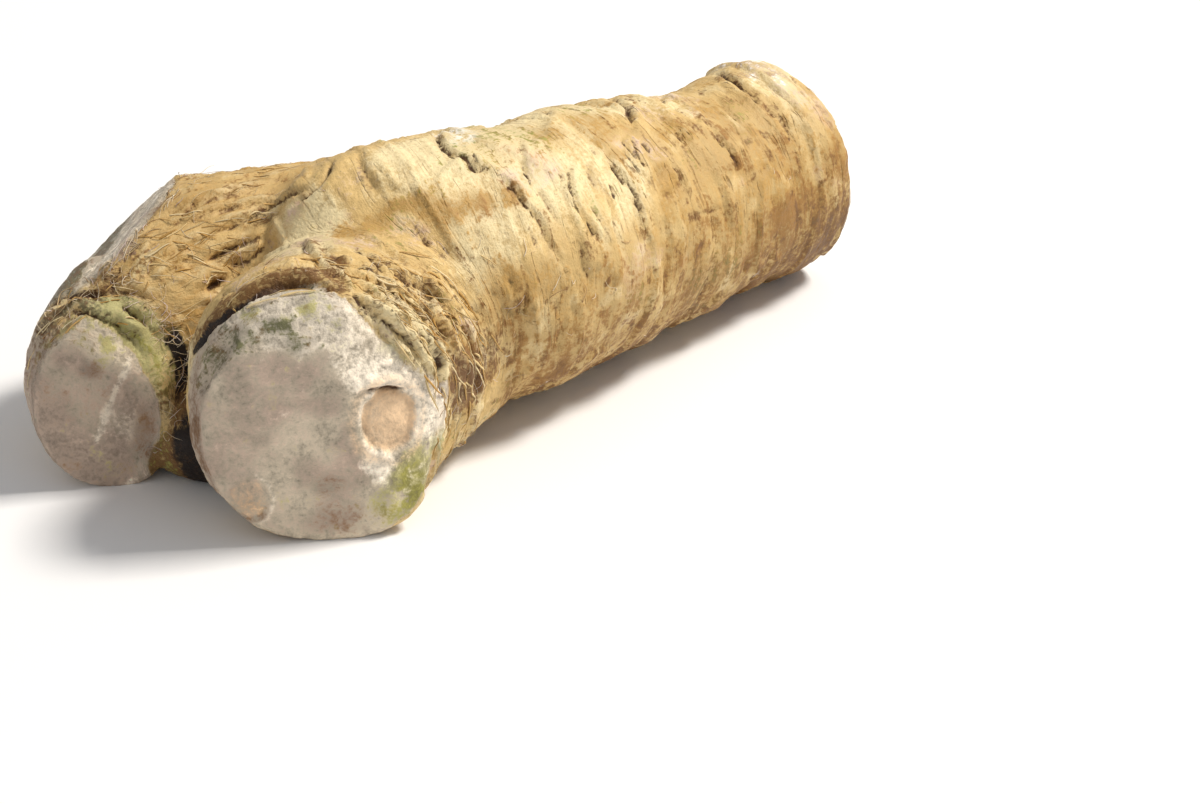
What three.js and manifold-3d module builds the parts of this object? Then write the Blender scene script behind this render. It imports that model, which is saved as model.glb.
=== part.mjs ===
// A forked horseradish root, lying on its side: a thick tap root whose crown divides into two
// heads, each trimmed flat with a knife. One solid piece. Millimetres, +Z up, +X from the crown
// towards the tip, origin at the middle of the bounding box's underside.
import * as THREE from "three";
import { ParametricGeometry } from "three/addons/geometries/ParametricGeometry.js";
import { mergeVertices } from "three/addons/utils/BufferGeometryUtils.js";
import Module from "manifold-3d";

const wasm = await Module();
wasm.setup();

// The limbs are laid out in the growth frame, whose origin is under the right head's knife face.
// SHIFT moves that frame's bounding box so that it stands centred on the part's origin.
const SHIFT = [-78.8, -38.35, 0];

// Knife cuts: a point on the plane and the normal that points at what was cut away. "round" is
// how far back from the plane the rim is worn, "drop" the share of the radius lost there, and
// "crown" how much more of it is lost at the top than at the bottom. The facets and crowns are
// shorter cuts that slope back from a face's right side and top edge.
const CUTS = {
  rightFace: { at: [1.2, -2.1, 29.5], normal: [-0.64, -0.76, 0.03], round: 9, drop: 0.085, crown: 0.07 },
  leftFace: { at: [-18.3, 52.4, 22], normal: [-0.6, -0.79, 0.03], round: 7, drop: 0.085, crown: 0.06 },
  rightFacet: { at: [8.6, -8.2, 33.2], normal: [-0.32, -0.938, 0.133] },
  rightCrown: { at: [-2.6, 1.9, 48.8], normal: [-0.59, -0.7, 0.402] },
  leftCrown: { at: [-16.6, 51.7, 35.5], normal: [-0.385, -0.86, 0.335] },
  shoulder: { at: [6.5, 77, 44.8], normal: [-0.413, 0.565, 0.713] },
  tip: { at: [184, 10, 27], normal: [1, -0.1, 0.05], round: 11, drop: 0.09, crown: 0.03 },
  table: { at: [0, 0, 0], normal: [0, 0, -1] },
};

// Limbs. Each row: spine x, y, z, half width, half height. "bulge" swells the section about one
// angle, in degrees from the left side over the top: angle, spread, share of the radius.
const LIMBS = {
  trunk: {
    rows: [
      [33, 39, 33, 18, 23],
      [43, 35, 34.5, 26, 31.5],
      [58, 27, 35, 31.5, 34],
      [78, 20, 34.8, 33.5, 33.6],
      [104, 18, 32.5, 32, 32.3],
      [130, 17, 30.3, 30.3, 30.2],
      [156, 15, 28.8, 28.2, 28.9],
      [180, 13, 29, 27.6, 29.9],
      [200, 11, 28.5, 27, 29.7],
    ],
    along: 86,
    around: 40,
    cut: CUTS.tip,
  },
  leftLobe: {
    rows: [
      [-3, 71, 26, 19, 25],
      [10, 68, 28.5, 25, 28.8],
      [30, 62, 30.5, 25.5, 29],
      [52, 51, 31, 24.5, 27.6],
      [76, 38, 31.5, 23, 26],
      [100, 28, 32, 17, 22],
    ],
    along: 40,
    around: 36,
  },
  rightHead: {
    rows: [
      [-5.2, -9.7, 29, 26.2, 29],
      [2.5, -0.6, 29.4, 26.6, 29.8],
      [10.3, 8, 30.6, 27.8, 30.7],
      [24, 15, 30.5, 28.6, 29.6],
      [41, 19, 31, 28.7, 28.5],
      [60, 20, 32, 26, 27],
      [80, 20, 33, 20, 24],
    ],
    along: 52,
    around: 40,
    bulge: [228, 26, 0.16],
    cut: CUTS.rightFace,
    facets: [CUTS.rightFacet, CUTS.rightCrown],
  },
  leftHead: {
    rows: [
      [-22, 45.2, 21.5, 16, 21.9],
      [-16.5, 52.4, 21.8, 16.5, 22.4],
      [-9.2, 60, 23.2, 18, 22.8],
      [6, 66, 27, 20, 23],
    ],
    along: 26,
    around: 32,
    bulge: [228, 34, 0.13],
    cut: CUTS.leftFace,
    facets: [CUTS.leftCrown],
  },
  web: {
    rows: [
      [-2.4, 36.3, 8.1, 12.8, 8.8],
      [5.5, 40, 11.2, 16.9, 12.4],
      [20, 45, 17, 20, 17.5],
      [38, 45, 24, 20, 22],
    ],
    along: 14,
    around: 20,
  },
};

// Folds ringing the heads, parallel to the knife faces. Each row: distance behind the face, depth
// (negative for a swollen collar), half width, the angle where it is strongest, spread in degrees.
const FOLDS = {
  rightHead: [
    [4.5, -0.7, 2, 60, 80],
    [8.6, 1.6, 1.9, 150, 75],
    [11.6, -0.9, 1.9, 150, 70],
    [14.8, 1.8, 1.9, 160, 70],
    [18.2, -0.9, 2, 150, 60],
    [21.8, 1.5, 2, 165, 60],
    [27, 1, 2.2, 170, 50],
  ],
  leftHead: [
    [3.6, 1.2, 1.7, 100, 80],
    [6.6, -1.1, 1.8, 110, 80],
    [10.2, 1.8, 1.9, 110, 80],
  ],
};

// Creases and ridges pressed along a path over the skin: depth (negative for a ridge), half width.
const CREASES = [
  { path: [[71.5, 30, 67], [66, 23, 68], [65, 17, 67.3], [66, 11, 65.8], [66.5, 7.2, 64.3]], depth: 2.2, wide: 2.3 },
  { path: [[66.5, 7.2, 64.3], [67.1, 4.3, 62.7], [68, 1.3, 60.8]], depth: 0.9, wide: 2.1 },
  { path: [[71.2, 10.3, 66.1], [69.6, 5, 63.6], [70, 0, 60.2], [71.1, -5, 55.5]], depth: -1.1, wide: 2.3 },
  { path: [[83.6, 14.3, 67], [79.3, 9.3, 66], [75.8, 4, 63.6], [72.9, -0.1, 60.6]], depth: 1.1, wide: 2.2 },
  { path: [[102.8, 24.3, 64.5], [97.8, 16.7, 65.7]], depth: 1.1, wide: 2.2 },
  { path: [[53, 38, 65.4], [47.4, 28.9, 66.2], [45.2, 23.6, 65], [44.3, 20.2, 63.6]], depth: 0.9, wide: 2.2 },
  { path: [[123.4, 17.7, 62.7], [119.1, 12.1, 62.7], [114.1, 6.2, 61.5]], depth: 2, wide: 2.2 },
  { path: [[108.3, 3.5, 61], [107.2, -2.4, 57]], depth: 0.8, wide: 2.1 },
  { path: [[99.9, 1.8, 60.8], [100.7, -5.4, 54.8], [99, -11, 46.6]], depth: 1.1, wide: 2.2 },
  { path: [[89.2, 2.9, 62.7], [83.4, -2.6, 59], [82.3, -7, 54.6], [83.1, -9.4, 51]], depth: 1.3, wide: 2.3 },
  { path: [[92, -1, 60.5], [88.5, -7, 55.5], [89, -12, 47.5]], depth: -0.9, wide: 3 },
  { path: [[79, -9.1, 51.3], [77.9, -11.1, 47.1], [78, -13.2, 40.4]], depth: 1.5, wide: 2.3 },
  { path: [[137.9, 17.6, 61], [133.9, 11.9, 61.1]], depth: 1, wide: 2.1 },
  { path: [[163.4, 16.4, 58.5], [159.6, 9, 58.1], [159.6, 2.2, 55.7], [163, -5.6, 49.9]], depth: 1.7, wide: 2.2 },
  { path: [[137.2, -1.4, 55], [138.2, -6, 50.5], [138.1, -8.8, 46.5]], depth: 1.4, wide: 2.2 },
  { path: [[28.7, 20.6, 59.1], [39.3, 15.8, 59.5], [49.4, 12.7, 62.2], [58.4, 5.4, 61.2], [68.4, 1.1, 60.7]], depth: 1.3, wide: 3.2 },
  { path: [[43.5, 15.5, 61.1], [39.3, 15.8, 59.5]], depth: 1.6, wide: 2 },
  { path: [[23.3, 11.7, 60.5], [25.9, 7.4, 59.8], [25, -2.4, 57], [30.8, -5.3, 52.9]], depth: 1.2, wide: 2.4 },
  { path: [[57.3, 52.8, 57.8], [43.1, 41, 62], [33.6, 39.3, 58.9]], depth: 1.6, wide: 2.4 },
];

// Rings that time has pressed into the tap root all round: x, y offset slant, depth, half width,
// the angle where the ring is deepest, and its spread in degrees.
const RINGS = [
  [74, 0.1, 1.1, 1.7, 20, 60],
  [90, -0.12, 1.3, 1.8, 300, 70],
  [97, 0.15, 1.0, 1.6, 10, 50],
  [109, 0.08, 1.5, 1.8, 255, 60],
  [116, -0.1, 1.2, 1.6, 30, 55],
  [128, 0.1, 1.1, 1.7, 190, 40],
  [133, 0.2, 1.4, 1.8, 330, 60],
  [147, -0.1, 1.5, 1.8, 20, 70],
  [152, 0.1, 1.2, 1.7, 230, 50],
  [168, 0.05, 1.3, 1.7, 10, 80],
];

// Round marks on the skin: where a side root broke off. Point, height (negative for a pit), radius.
const MARKS = [
  [[119.1, -11.4, 43.2], 1.0, 3.2],
  [[151.7, -7.6, 47.5], -1.3, 2.2],
  [[110, 48.5, 40], 1.8, 4.5],
  [[146, 40, 22], 1.6, 4],
  [[92, -13.5, 26], 1.4, 4],
  [[60, 68, 24], 1.7, 4.5],
  [[84, 30, 67], 1.0, 3.6],
  [[129, 24, 60.5], 0.9, 3],
  [[30, 85, 24], 1.5, 4],
  [[132, -12.5, 24], -1.2, 2.6],
];

// A leaf bud's scar, let into the worn rim of the right face.
const BUD_SCAR = { at: [16.6, -11.6, 28.6], normal: [-0.32, -0.938, 0.133], radius: 6.8, depth: 1.1 };

const ROOT_COLOUR = 0xd9bd85;

const DEG = Math.PI / 180;
const smooth = (d, wide) => Math.exp(-(d * d) / (wide * wide));

// How strongly an angle, in degrees, falls in a window of the given middle and spread.
function near(angle, middle, spread) {
  const apart = ((((angle - middle) % 360) + 540) % 360) - 180;
  return smooth(apart, spread);
}

// Catmull-Rom through the rows: t runs from 0 at the first row to 1 at the last.
function rowAt(rows, t) {
  const f = Math.min(Math.max(t, 0), 1) * (rows.length - 1);
  const i = Math.min(Math.floor(f), rows.length - 2);
  const u = f - i;
  const pick = (k) => rows[Math.min(Math.max(k, 0), rows.length - 1)];
  const [p0, p1, p2, p3] = [pick(i - 1), pick(i), pick(i + 1), pick(i + 2)];
  return p1.map(
    (_, c) =>
      0.5 *
      (2 * p1[c] +
        (p2[c] - p0[c]) * u +
        (2 * p0[c] - 5 * p1[c] + 4 * p2[c] - p3[c]) * u * u +
        (3 * p1[c] - p0[c] - 3 * p2[c] + p3[c]) * u * u * u),
  );
}

// How far inside a knife plane a point lies.
function behind({ at, normal }, p) {
  const n = new THREE.Vector3(...normal).normalize();
  return -(n.x * (p.x - at[0]) + n.y * (p.y - at[1]) + n.z * (p.z - at[2]));
}

// The share of its radius that a section keeps near a knife plane, where the rim is worn round.
function rimShare(cut, p, angle) {
  const s = Math.min(Math.max(behind(cut, p) / cut.round, 0), 1);
  const drop = cut.drop + cut.crown * Math.sin(angle);
  return 1 - drop * (1 - s) * (1 - s);
}

// A slow swell of the skin in millimetres, from a few crossed waves.
function swell(p) {
  return (
    0.35 * Math.sin(p.x / 9.3 + 1.3 * Math.sin(p.y / 14.1) + 0.4) +
    0.35 * Math.sin(p.y / 7.1 + p.z / 11.7 + 1.9 * Math.sin(p.x / 31)) +
    0.3 * Math.sin(p.x / 4.6 + p.z / 8.3 + 2.1)
  );
}

// Distance from a point to a path of straight steps.
function pathDistance(p, path) {
  let best = Infinity;
  for (let i = 0; i + 1 < path.length; i += 1) {
    const a = new THREE.Vector3(...path[i]);
    const b = new THREE.Vector3(...path[i + 1]);
    const step = b.clone().sub(a);
    const u = Math.min(Math.max(p.clone().sub(a).dot(step) / step.lengthSq(), 0), 1);
    best = Math.min(best, a.addScaledVector(step, u).distanceTo(p));
  }
  return best;
}

// Everything that stands out from a limb's plain surface at a point, in millimetres.
function relief(name, limb, p, angle) {
  const degrees = angle / DEG;
  let out = name === "web" ? 0 : swell(p);
  if (limb.facets) {
    const rim = Math.min(...[limb.cut, ...limb.facets].map((cut) => behind(cut, p)));
    const kept = Math.min(Math.max((rim - 1) / 4, 0), 1);
    for (const [back, depth, wide, middle, spread] of FOLDS[name]) {
      const d = behind(limb.cut, p) - back - 0.9 * Math.sin(angle * 3 + back);
      out -= kept * depth * smooth(d, wide) * (0.25 + 0.75 * near(degrees, middle, spread));
    }
  }
  for (const { path, depth, wide } of CREASES) out -= depth * smooth(pathDistance(p, path), wide);
  for (const [x, slant, depth, wide, middle, spread] of name === "trunk" ? RINGS : []) {
    const d = p.x - x - slant * (p.y - 17) - 0.9 * Math.sin(angle * 4 + x);
    out -= depth * smooth(d, wide) * near(degrees, middle, spread);
  }
  for (const [at, high, radius] of MARKS) {
    out += high * smooth(p.distanceTo(new THREE.Vector3(...at)), radius);
  }
  return out;
}

// A limb's surface: an ellipse carried along the spine, square to it, closed by rounded ends.
function limbGeometry(name) {
  const limb = LIMBS[name];
  const cap = 0.05;
  const point = (u, v, target) => {
    const t = Math.min(Math.max((v - cap) / (1 - 2 * cap), 0), 1);
    const r = rowAt(limb.rows, t);
    const a = rowAt(limb.rows, t - 0.01);
    const b = rowAt(limb.rows, t + 0.01);
    const tangent = new THREE.Vector3(b[0] - a[0], b[1] - a[1], b[2] - a[2]).normalize();
    const side = new THREE.Vector3(0, 0, 1).cross(tangent).normalize();
    const top = tangent.clone().cross(side);
    const e = v < cap ? 1 - v / cap : v > 1 - cap ? 1 - (1 - v) / cap : 0;
    const ring = Math.sqrt(Math.max(0, 1 - e * e));
    const angle = u * 2 * Math.PI;
    const spoke = side.multiplyScalar(Math.cos(angle) * r[3]);
    spoke.addScaledVector(top, Math.sin(angle) * r[4]);
    if (limb.bulge) {
      const [middle, spread, share] = limb.bulge;
      spoke.multiplyScalar(1 + share * near(angle / DEG, middle, spread));
    }
    target.set(r[0], r[1], r[2]).addScaledVector(tangent, (v < 0.5 ? -1 : 1) * e * 4);
    const rim = target.clone().add(spoke);
    const share = limb.cut ? rimShare(limb.cut, rim, angle) : 1;
    const long = spoke.length();
    const out = relief(name, limb, rim, angle);
    target.addScaledVector(spoke, (ring * (long * share + out)) / long);
  };
  return new ParametricGeometry(point, limb.around, limb.along);
}

// A closed geometry as a solid: shared vertices merged and the collapsed faces at poles dropped.
function solidOf(geometry) {
  const g = geometry.clone();
  g.deleteAttribute("normal");
  g.deleteAttribute("uv");
  const merged = mergeVertices(g, 1e-3);
  const index = merged.index.array;
  const kept = [];
  for (let i = 0; i < index.length; i += 3) {
    const [a, b, c] = [index[i], index[i + 1], index[i + 2]];
    if (a !== b && b !== c && c !== a) kept.push(a, b, c);
  }
  const build = () =>
    new wasm.Manifold(
      new wasm.Mesh({
        numProp: 3,
        vertProperties: merged.attributes.position.array,
        triVerts: new Uint32Array(kept),
      }),
    );
  const made = build();
  if (made.volume() >= 0) return made;
  for (let i = 0; i < kept.length; i += 3) [kept[i], kept[i + 1]] = [kept[i + 1], kept[i]];
  return build();
}

// Turns a geometry made along +Z to look along a direction, and moves it to a point.
function aimed(geometry, at, direction) {
  const n = new THREE.Vector3(...direction).normalize();
  const turn = new THREE.Quaternion().setFromUnitVectors(new THREE.Vector3(0, 0, 1), n);
  return geometry.applyQuaternion(turn).translate(...at);
}

// The half space that a knife cut takes away, as a large block.
function cutAway({ at, normal }) {
  const size = 400;
  const block = new THREE.BoxGeometry(size, size, size).translate(0, 0, size / 2);
  return solidOf(aimed(block, at, normal));
}

// The bud scar's shallow pocket: a low drum with a raised middle, sunk "depth" into the rim.
function budPocket({ at, normal, radius, depth }) {
  const profile = [
    [0, -depth * 0.4],
    [radius * 0.45, -depth * 0.5],
    [radius * 0.7, -depth],
    [radius, -depth * 0.7],
    [radius * 1.1, depth * 3],
    [0, depth * 3],
  ].map(([x, y]) => new THREE.Vector2(x, y));
  const drum = new THREE.LatheGeometry(profile, 20).rotateX(Math.PI / 2);
  return solidOf(aimed(drum, at, normal));
}

function geometryOf(solid) {
  const mesh = solid.getMesh();
  const geometry = new THREE.BufferGeometry();
  geometry.setAttribute("position", new THREE.BufferAttribute(mesh.vertProperties, 3));
  geometry.setIndex(new THREE.BufferAttribute(mesh.triVerts, 1));
  geometry.computeVertexNormals();
  return geometry;
}

const limb = Object.fromEntries(Object.keys(LIMBS).map((n) => [n, solidOf(limbGeometry(n))]));
const trunk = limb.trunk.subtract(cutAway(CUTS.tip));
const leftSide = limb.leftLobe
  .subtract(cutAway(CUTS.shoulder))
  .add(limb.leftHead)
  .subtract(cutAway(CUTS.leftFace))
  .subtract(cutAway(CUTS.leftCrown));
const rightHead = limb.rightHead
  .subtract(cutAway(CUTS.rightFace))
  .subtract(cutAway(CUTS.rightFacet))
  .subtract(cutAway(CUTS.rightCrown))
  .subtract(budPocket(BUD_SCAR));
const whole = trunk.add(leftSide).add(rightHead).add(limb.web).subtract(cutAway(CUTS.table));

const root = new THREE.Mesh(
  geometryOf(whole),
  new THREE.MeshStandardMaterial({ color: ROOT_COLOUR, roughness: 0.6, metalness: 0 }),
);
root.name = "root";
root.position.set(...SHIFT);

const group = new THREE.Group();
group.add(root);
export default group;
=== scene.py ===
"""A forked horseradish root, washed and trimmed, lying on its side on a pale floor.

The root's skin is one closed surface. Its limbs are ellipses carried along curved spines, cut by
the knife planes, joined and remeshed, and then raised and lowered by everything that marks such a
root: folded collars, ring cracks, wrinkles, pits, scars and fibres. Each mark is worked out in
millimetres in the growth frame (the limbs' own frame, +Z up, +X towards the tip) for all points
at once, and leaves both its relief and its colour mask on the points. Root hairs and loose
flakes of bark are separate closed meshes.
"""

import bmesh
import bpy
import numpy as np
from mathutils import Matrix, Vector
from mathutils.kdtree import KDTree


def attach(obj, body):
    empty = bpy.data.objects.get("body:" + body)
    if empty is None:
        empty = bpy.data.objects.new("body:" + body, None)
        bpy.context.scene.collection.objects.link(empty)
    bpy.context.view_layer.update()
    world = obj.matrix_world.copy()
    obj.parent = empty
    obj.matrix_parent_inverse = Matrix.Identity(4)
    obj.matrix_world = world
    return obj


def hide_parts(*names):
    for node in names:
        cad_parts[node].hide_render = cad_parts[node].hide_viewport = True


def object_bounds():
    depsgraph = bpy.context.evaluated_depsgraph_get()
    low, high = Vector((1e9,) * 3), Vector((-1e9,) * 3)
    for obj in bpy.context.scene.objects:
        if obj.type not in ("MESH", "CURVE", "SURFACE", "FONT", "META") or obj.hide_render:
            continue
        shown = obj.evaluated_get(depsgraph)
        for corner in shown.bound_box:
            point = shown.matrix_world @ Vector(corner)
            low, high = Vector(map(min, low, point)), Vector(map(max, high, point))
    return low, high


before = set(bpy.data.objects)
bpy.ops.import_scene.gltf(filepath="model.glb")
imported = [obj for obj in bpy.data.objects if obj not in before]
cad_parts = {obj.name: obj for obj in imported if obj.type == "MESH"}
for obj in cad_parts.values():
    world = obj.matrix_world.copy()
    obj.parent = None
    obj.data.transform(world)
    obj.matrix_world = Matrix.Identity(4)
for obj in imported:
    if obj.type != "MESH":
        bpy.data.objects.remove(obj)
cad_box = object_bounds()

MM = 0.001
SHIFT = np.array([-78.8, -38.35, 0.0])  # from the growth frame to the part's frame, mm
CELL = 0.87  # spacing of the skin's points, mm
CAP = 4.0  # how far a limb's rounded ends reach past its spine, mm
SMOOTHING = 6  # rounds in which the remeshed grid's steps fade
SPINE_STEPS = 90  # points along a spine when the skin's points are measured from it
PATH_STEP = 0.5  # spacing of the points of a mark's path, mm
CHUNKS = 24  # the skin is measured in so many chunks, to keep the tables of distances small

# ---------------------------------------------------------------- the camera

# The view is from the crown's side, 30 degrees above the floor: a 72.6 mm lens on a 36 mm sensor,
# with the right head's face 0.55 m away in the left half of the frame.
CAMERA_AT = np.array([-292.1, -362.5, 301.8]) + SHIFT
CAMERA_AZIMUTH, CAMERA_ELEVATION = np.radians(-47.0), np.radians(30.0)
lens = bpy.data.cameras.new("view")
lens.lens, lens.sensor_width = 72.6, 36.0
lens.clip_start, lens.clip_end = 0.01, 20
camera = bpy.data.objects.new("view", lens)
bpy.context.scene.collection.objects.link(camera)
bpy.context.scene.camera = camera
back = Vector((
    np.sin(CAMERA_AZIMUTH) * np.cos(CAMERA_ELEVATION),
    -np.cos(CAMERA_AZIMUTH) * np.cos(CAMERA_ELEVATION),
    np.sin(CAMERA_ELEVATION),
))
across = Vector((0, 0, 1)).cross(back).normalized()
turn = Matrix((across, back.cross(across), back)).transposed()
camera.matrix_world = Matrix.Translation(Vector(CAMERA_AT * MM)) @ turn.to_4x4()

# ---------------------------------------------------------------- the form, as in the solids

# Knife cuts: a point and the normal towards what was cut away, then how far back the rim is worn
# round, the share of the radius lost there, and how much more is lost at the top.
KNIFE = {
    "right": dict(at=(1.2, -2.1, 29.5), normal=(-0.64, -0.76, 0.03), worn=9, drop=0.085, crown=0.07),
    "left": dict(at=(-18.3, 52.4, 22), normal=(-0.6, -0.79, 0.03), worn=7, drop=0.085, crown=0.06),
    "right facet": dict(at=(8.6, -8.2, 33.2), normal=(-0.32, -0.938, 0.133)),
    "right crown": dict(at=(-2.6, 1.9, 48.8), normal=(-0.59, -0.7, 0.402)),
    "left crown": dict(at=(-16.6, 51.7, 35.5), normal=(-0.385, -0.86, 0.335)),
    "shoulder": dict(at=(6.5, 77, 44.8), normal=(-0.413, 0.565, 0.713)),
    "tip": dict(at=(184, 10, 27), normal=(1, -0.1, 0.05), worn=11, drop=0.09, crown=0.03),
}
# Limbs. Rows of spine x, y, z, half width, half height; "bulge" swells the section about an
# angle: middle, reach to each side (degrees), share. "worn" is the knife whose rim is worn round.
LIMBS = {
    "trunk": dict(
        rows=[[33, 39, 33, 18, 23], [43, 35, 34.5, 26, 31.5], [58, 27, 35, 31.5, 34],
              [78, 20, 34.8, 33.5, 33.6], [104, 18, 32.5, 32, 32.3], [130, 17, 30.3, 30.3, 30.2],
              [156, 15, 28.8, 28.2, 28.9], [180, 13, 29, 27.6, 29.9], [200, 11, 28.5, 27, 29.7]],
        cuts=["tip"], worn="tip"),
    "left lobe": dict(
        rows=[[-3, 71, 26, 19, 25], [10, 68, 28.5, 25, 28.8], [30, 62, 30.5, 25.5, 29],
              [52, 51, 31, 24.5, 27.6], [76, 38, 31.5, 23, 26], [100, 28, 32, 17, 22]],
        cuts=["shoulder", "left", "left crown"]),
    "right head": dict(
        rows=[[-5.2, -9.7, 29, 26.2, 29], [2.5, -0.6, 29.4, 26.6, 29.8], [10.3, 8, 30.6, 27.8, 30.7],
              [24, 15, 30.5, 28.6, 29.6], [41, 19, 31, 28.7, 28.5], [60, 20, 32, 26, 27],
              [80, 20, 33, 20, 24]],
        bulge=(228, 26, 0.16), cuts=["right", "right facet", "right crown"], worn="right"),
    "left head": dict(
        rows=[[-22, 45.2, 21.5, 16, 21.9], [-16.5, 52.4, 21.8, 16.5, 22.4], [-9.2, 60, 23.2, 18, 22.8],
              [6, 66, 27, 20, 23]],
        bulge=(228, 34, 0.13), cuts=["left", "left crown"], worn="left"),
    "web": dict(
        rows=[[-2.4, 36.3, 8.1, 12.8, 8.8], [5.5, 40, 11.2, 16.9, 12.4], [20, 45, 17, 20, 17.5],
              [38, 45, 24, 20, 22]],
        cuts=[]),
}


def unit(v):
    """A vector, or each row of an array, scaled to length 1."""
    v = np.asarray(v, float)
    return v / np.linalg.norm(v, axis=-1, keepdims=True)


def outward(knife):
    """The unit normal of a knife's plane, towards what was cut away."""
    return unit(KNIFE[knife]["normal"])


def step(low, high, x):
    """0 below low, 1 above high, and the smooth cubic 3u^2 - 2u^3 between."""
    u = np.clip((x - low) / (high - low), 0, 1)
    return u * u * (3 - 2 * u)


def hump(d, wide):
    """A bell of height 1 and half width `wide`: exp(-(d / wide)^2)."""
    return np.exp(-((d / wide) ** 2))


def near(angle, middle, wide):
    """A bell round the section: how strongly an angle in degrees lies about `middle`."""
    return hump((angle - middle + 180) % 360 - 180, wide)


def behind(knife, p):
    """How far inside a knife's plane each point lies, mm."""
    return -((p - np.array(KNIFE[knife]["at"])) @ outward(knife))


def lattice(p, seed):
    """Smooth value noise, -1 to 1: a hashed number at each whole-numbered corner of space, blended
    inside the cell by 3f^2 - 2f^3 of the place f between its corners."""
    base = np.floor(p)
    f = p - base
    f = f * f * (3 - 2 * f)
    i = base.astype(np.int64)
    total = np.zeros(len(p))
    for corner in range(8):
        d = np.array([corner & 1, corner >> 1 & 1, corner >> 2 & 1])
        k = i + d
        h = (k[:, 0] * 73856093 ^ k[:, 1] * 19349663 ^ k[:, 2] * 83492791 ^ seed * 2654435761) & 0xFFFFFFFF
        h = ((h ^ (h >> 15)) * 2246822519) & 0xFFFFFFFF
        h = ((h ^ (h >> 13)) * 3266489917) & 0xFFFFFFFF
        value = (h ^ (h >> 16)) / 2147483648.0 - 1.0
        share = np.prod(np.where(d, f, 1 - f), axis=1)
        total += value * share
    return total


def cloud(p, size, seed, octaves=3):
    """Fractal noise: octaves of lattice noise, each of half the size and half the strength. `size`
    is the largest lump in mm, one number or one for each axis."""
    q = p / np.asarray(size, float)
    total, strength, whole = 0.0, 1.0, 0.0
    for octave in range(octaves):
        total = total + strength * lattice(q + 17.3 * octave, seed + octave)
        whole += strength
        strength *= 0.5
        q = q * 2.03
    return total / whole


def rows_at(rows, t):
    """Catmull-Rom curve through the rows, t from 0 to 1."""
    rows = np.asarray(rows, float)
    last = len(rows) - 1
    f = np.clip(t, 0, 1) * last
    i = np.minimum(f.astype(int), last - 1)
    u = (f - i)[:, None]
    p0, p1, p2, p3 = (rows[np.clip(i + d, 0, last)] for d in (-1, 0, 1, 2))
    return 0.5 * (2 * p1 + (p2 - p0) * u + (2 * p0 - 5 * p1 + 4 * p2 - p3) * u**2
                  + (3 * p1 - p0 - 3 * p2 + p3) * u**3)


def spine(limb, t):
    """Points, tangents, left and upward spokes and half sizes of a limb along its spine."""
    r = rows_at(limb["rows"], t)
    tangent = unit(rows_at(limb["rows"], t + 0.01)[:, :3] - rows_at(limb["rows"], t - 0.01)[:, :3])
    side = unit(np.cross([0.0, 0.0, 1.0], tangent))
    return r[:, :3], tangent, side, np.cross(tangent, side), r[:, 3], r[:, 4]


def limb_points(name, t, angle, ring, out):
    """The limb's skin at spine share t and angle (radians from the left over the top): the spine
    point moved `out` along the spine, plus `ring` times the ellipse's spoke (cosine to the left,
    sine upwards), swollen about the bulge and shrunk near the worn rim by drop * (1 - depth behind
    the knife / worn)^2."""
    limb = LIMBS[name]
    centre, tangent, side, top, wide, high = spine(limb, t)
    spoke = side * (np.cos(angle) * wide)[:, None] + top * (np.sin(angle) * high)[:, None]
    if "bulge" in limb:
        middle, around, share = limb["bulge"]
        spoke = spoke * (1 + share * near(np.degrees(angle), middle, around))[:, None]
    start = centre + tangent * out[:, None]
    if "worn" in limb:
        knife = KNIFE[limb["worn"]]
        s = np.clip(behind(limb["worn"], start + spoke) / knife["worn"], 0, 1)
        drop = knife["drop"] + knife["crown"] * np.sin(angle)
        spoke = spoke * (1 - drop * (1 - s) ** 2)[:, None]
    return start + spoke * ring[:, None]


def limb_mesh(name, rings=150, spokes=120):
    """A closed grid over a limb: v runs along the spine with a round cap over the last 5 % at each
    end, u runs round the section; one point closes each end."""
    cap = 0.05
    v = np.linspace(0, 1, rings + 1)[1:-1]
    t = np.clip((v - cap) / (1 - 2 * cap), 0, 1)
    e = np.where(v < cap, 1 - v / cap, np.where(v > 1 - cap, 1 - (1 - v) / cap, 0))
    out = np.where(v < 0.5, -1, 1) * e * CAP
    tt, aa = np.meshgrid(t, np.linspace(0, 2 * np.pi, spokes, endpoint=False), indexing="ij")
    grid = limb_points(name, tt.ravel(), aa.ravel(), np.repeat(np.sqrt(1 - e**2), spokes),
                       np.repeat(out, spokes))
    centre, tangent = spine(LIMBS[name], np.array([0.0, 1.0]))[:2]
    ends = centre + tangent * np.array([[-CAP], [CAP]])
    n = len(v)
    index = np.arange(n * spokes).reshape(n, spokes)
    right = np.roll(index, -1, axis=1)
    quads = np.stack([index[:-1], index[1:], right[1:], right[:-1]], axis=-1).reshape(-1, 4)
    first, last = n * spokes, n * spokes + 1
    caps = [(first, a, b) for a, b in zip(index[0], right[0])]
    caps += [(last, b, a) for a, b in zip(index[-1], right[-1])]
    return np.vstack([grid, ends]), quads.tolist() + caps


def trimmed(points, faces, knives):
    """The part of a closed mesh inside the knife planes, with each cut closed by one face."""
    bm = bmesh.new()
    verts = [bm.verts.new(p) for p in points]
    for face in faces:
        bm.faces.new([verts[i] for i in face])
    bmesh.ops.recalc_face_normals(bm, faces=bm.faces)
    for knife in knives:
        done = bmesh.ops.bisect_plane(
            bm, geom=bm.verts[:] + bm.edges[:] + bm.faces[:], clear_outer=True,
            plane_co=KNIFE[knife]["at"], plane_no=outward(knife).tolist())
        rim = [g for g in done["geom_cut"] if isinstance(g, bmesh.types.BMEdge)]
        bmesh.ops.edgenet_fill(bm, edges=rim)
    bmesh.ops.recalc_face_normals(bm, faces=bm.faces)
    return bm


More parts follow.
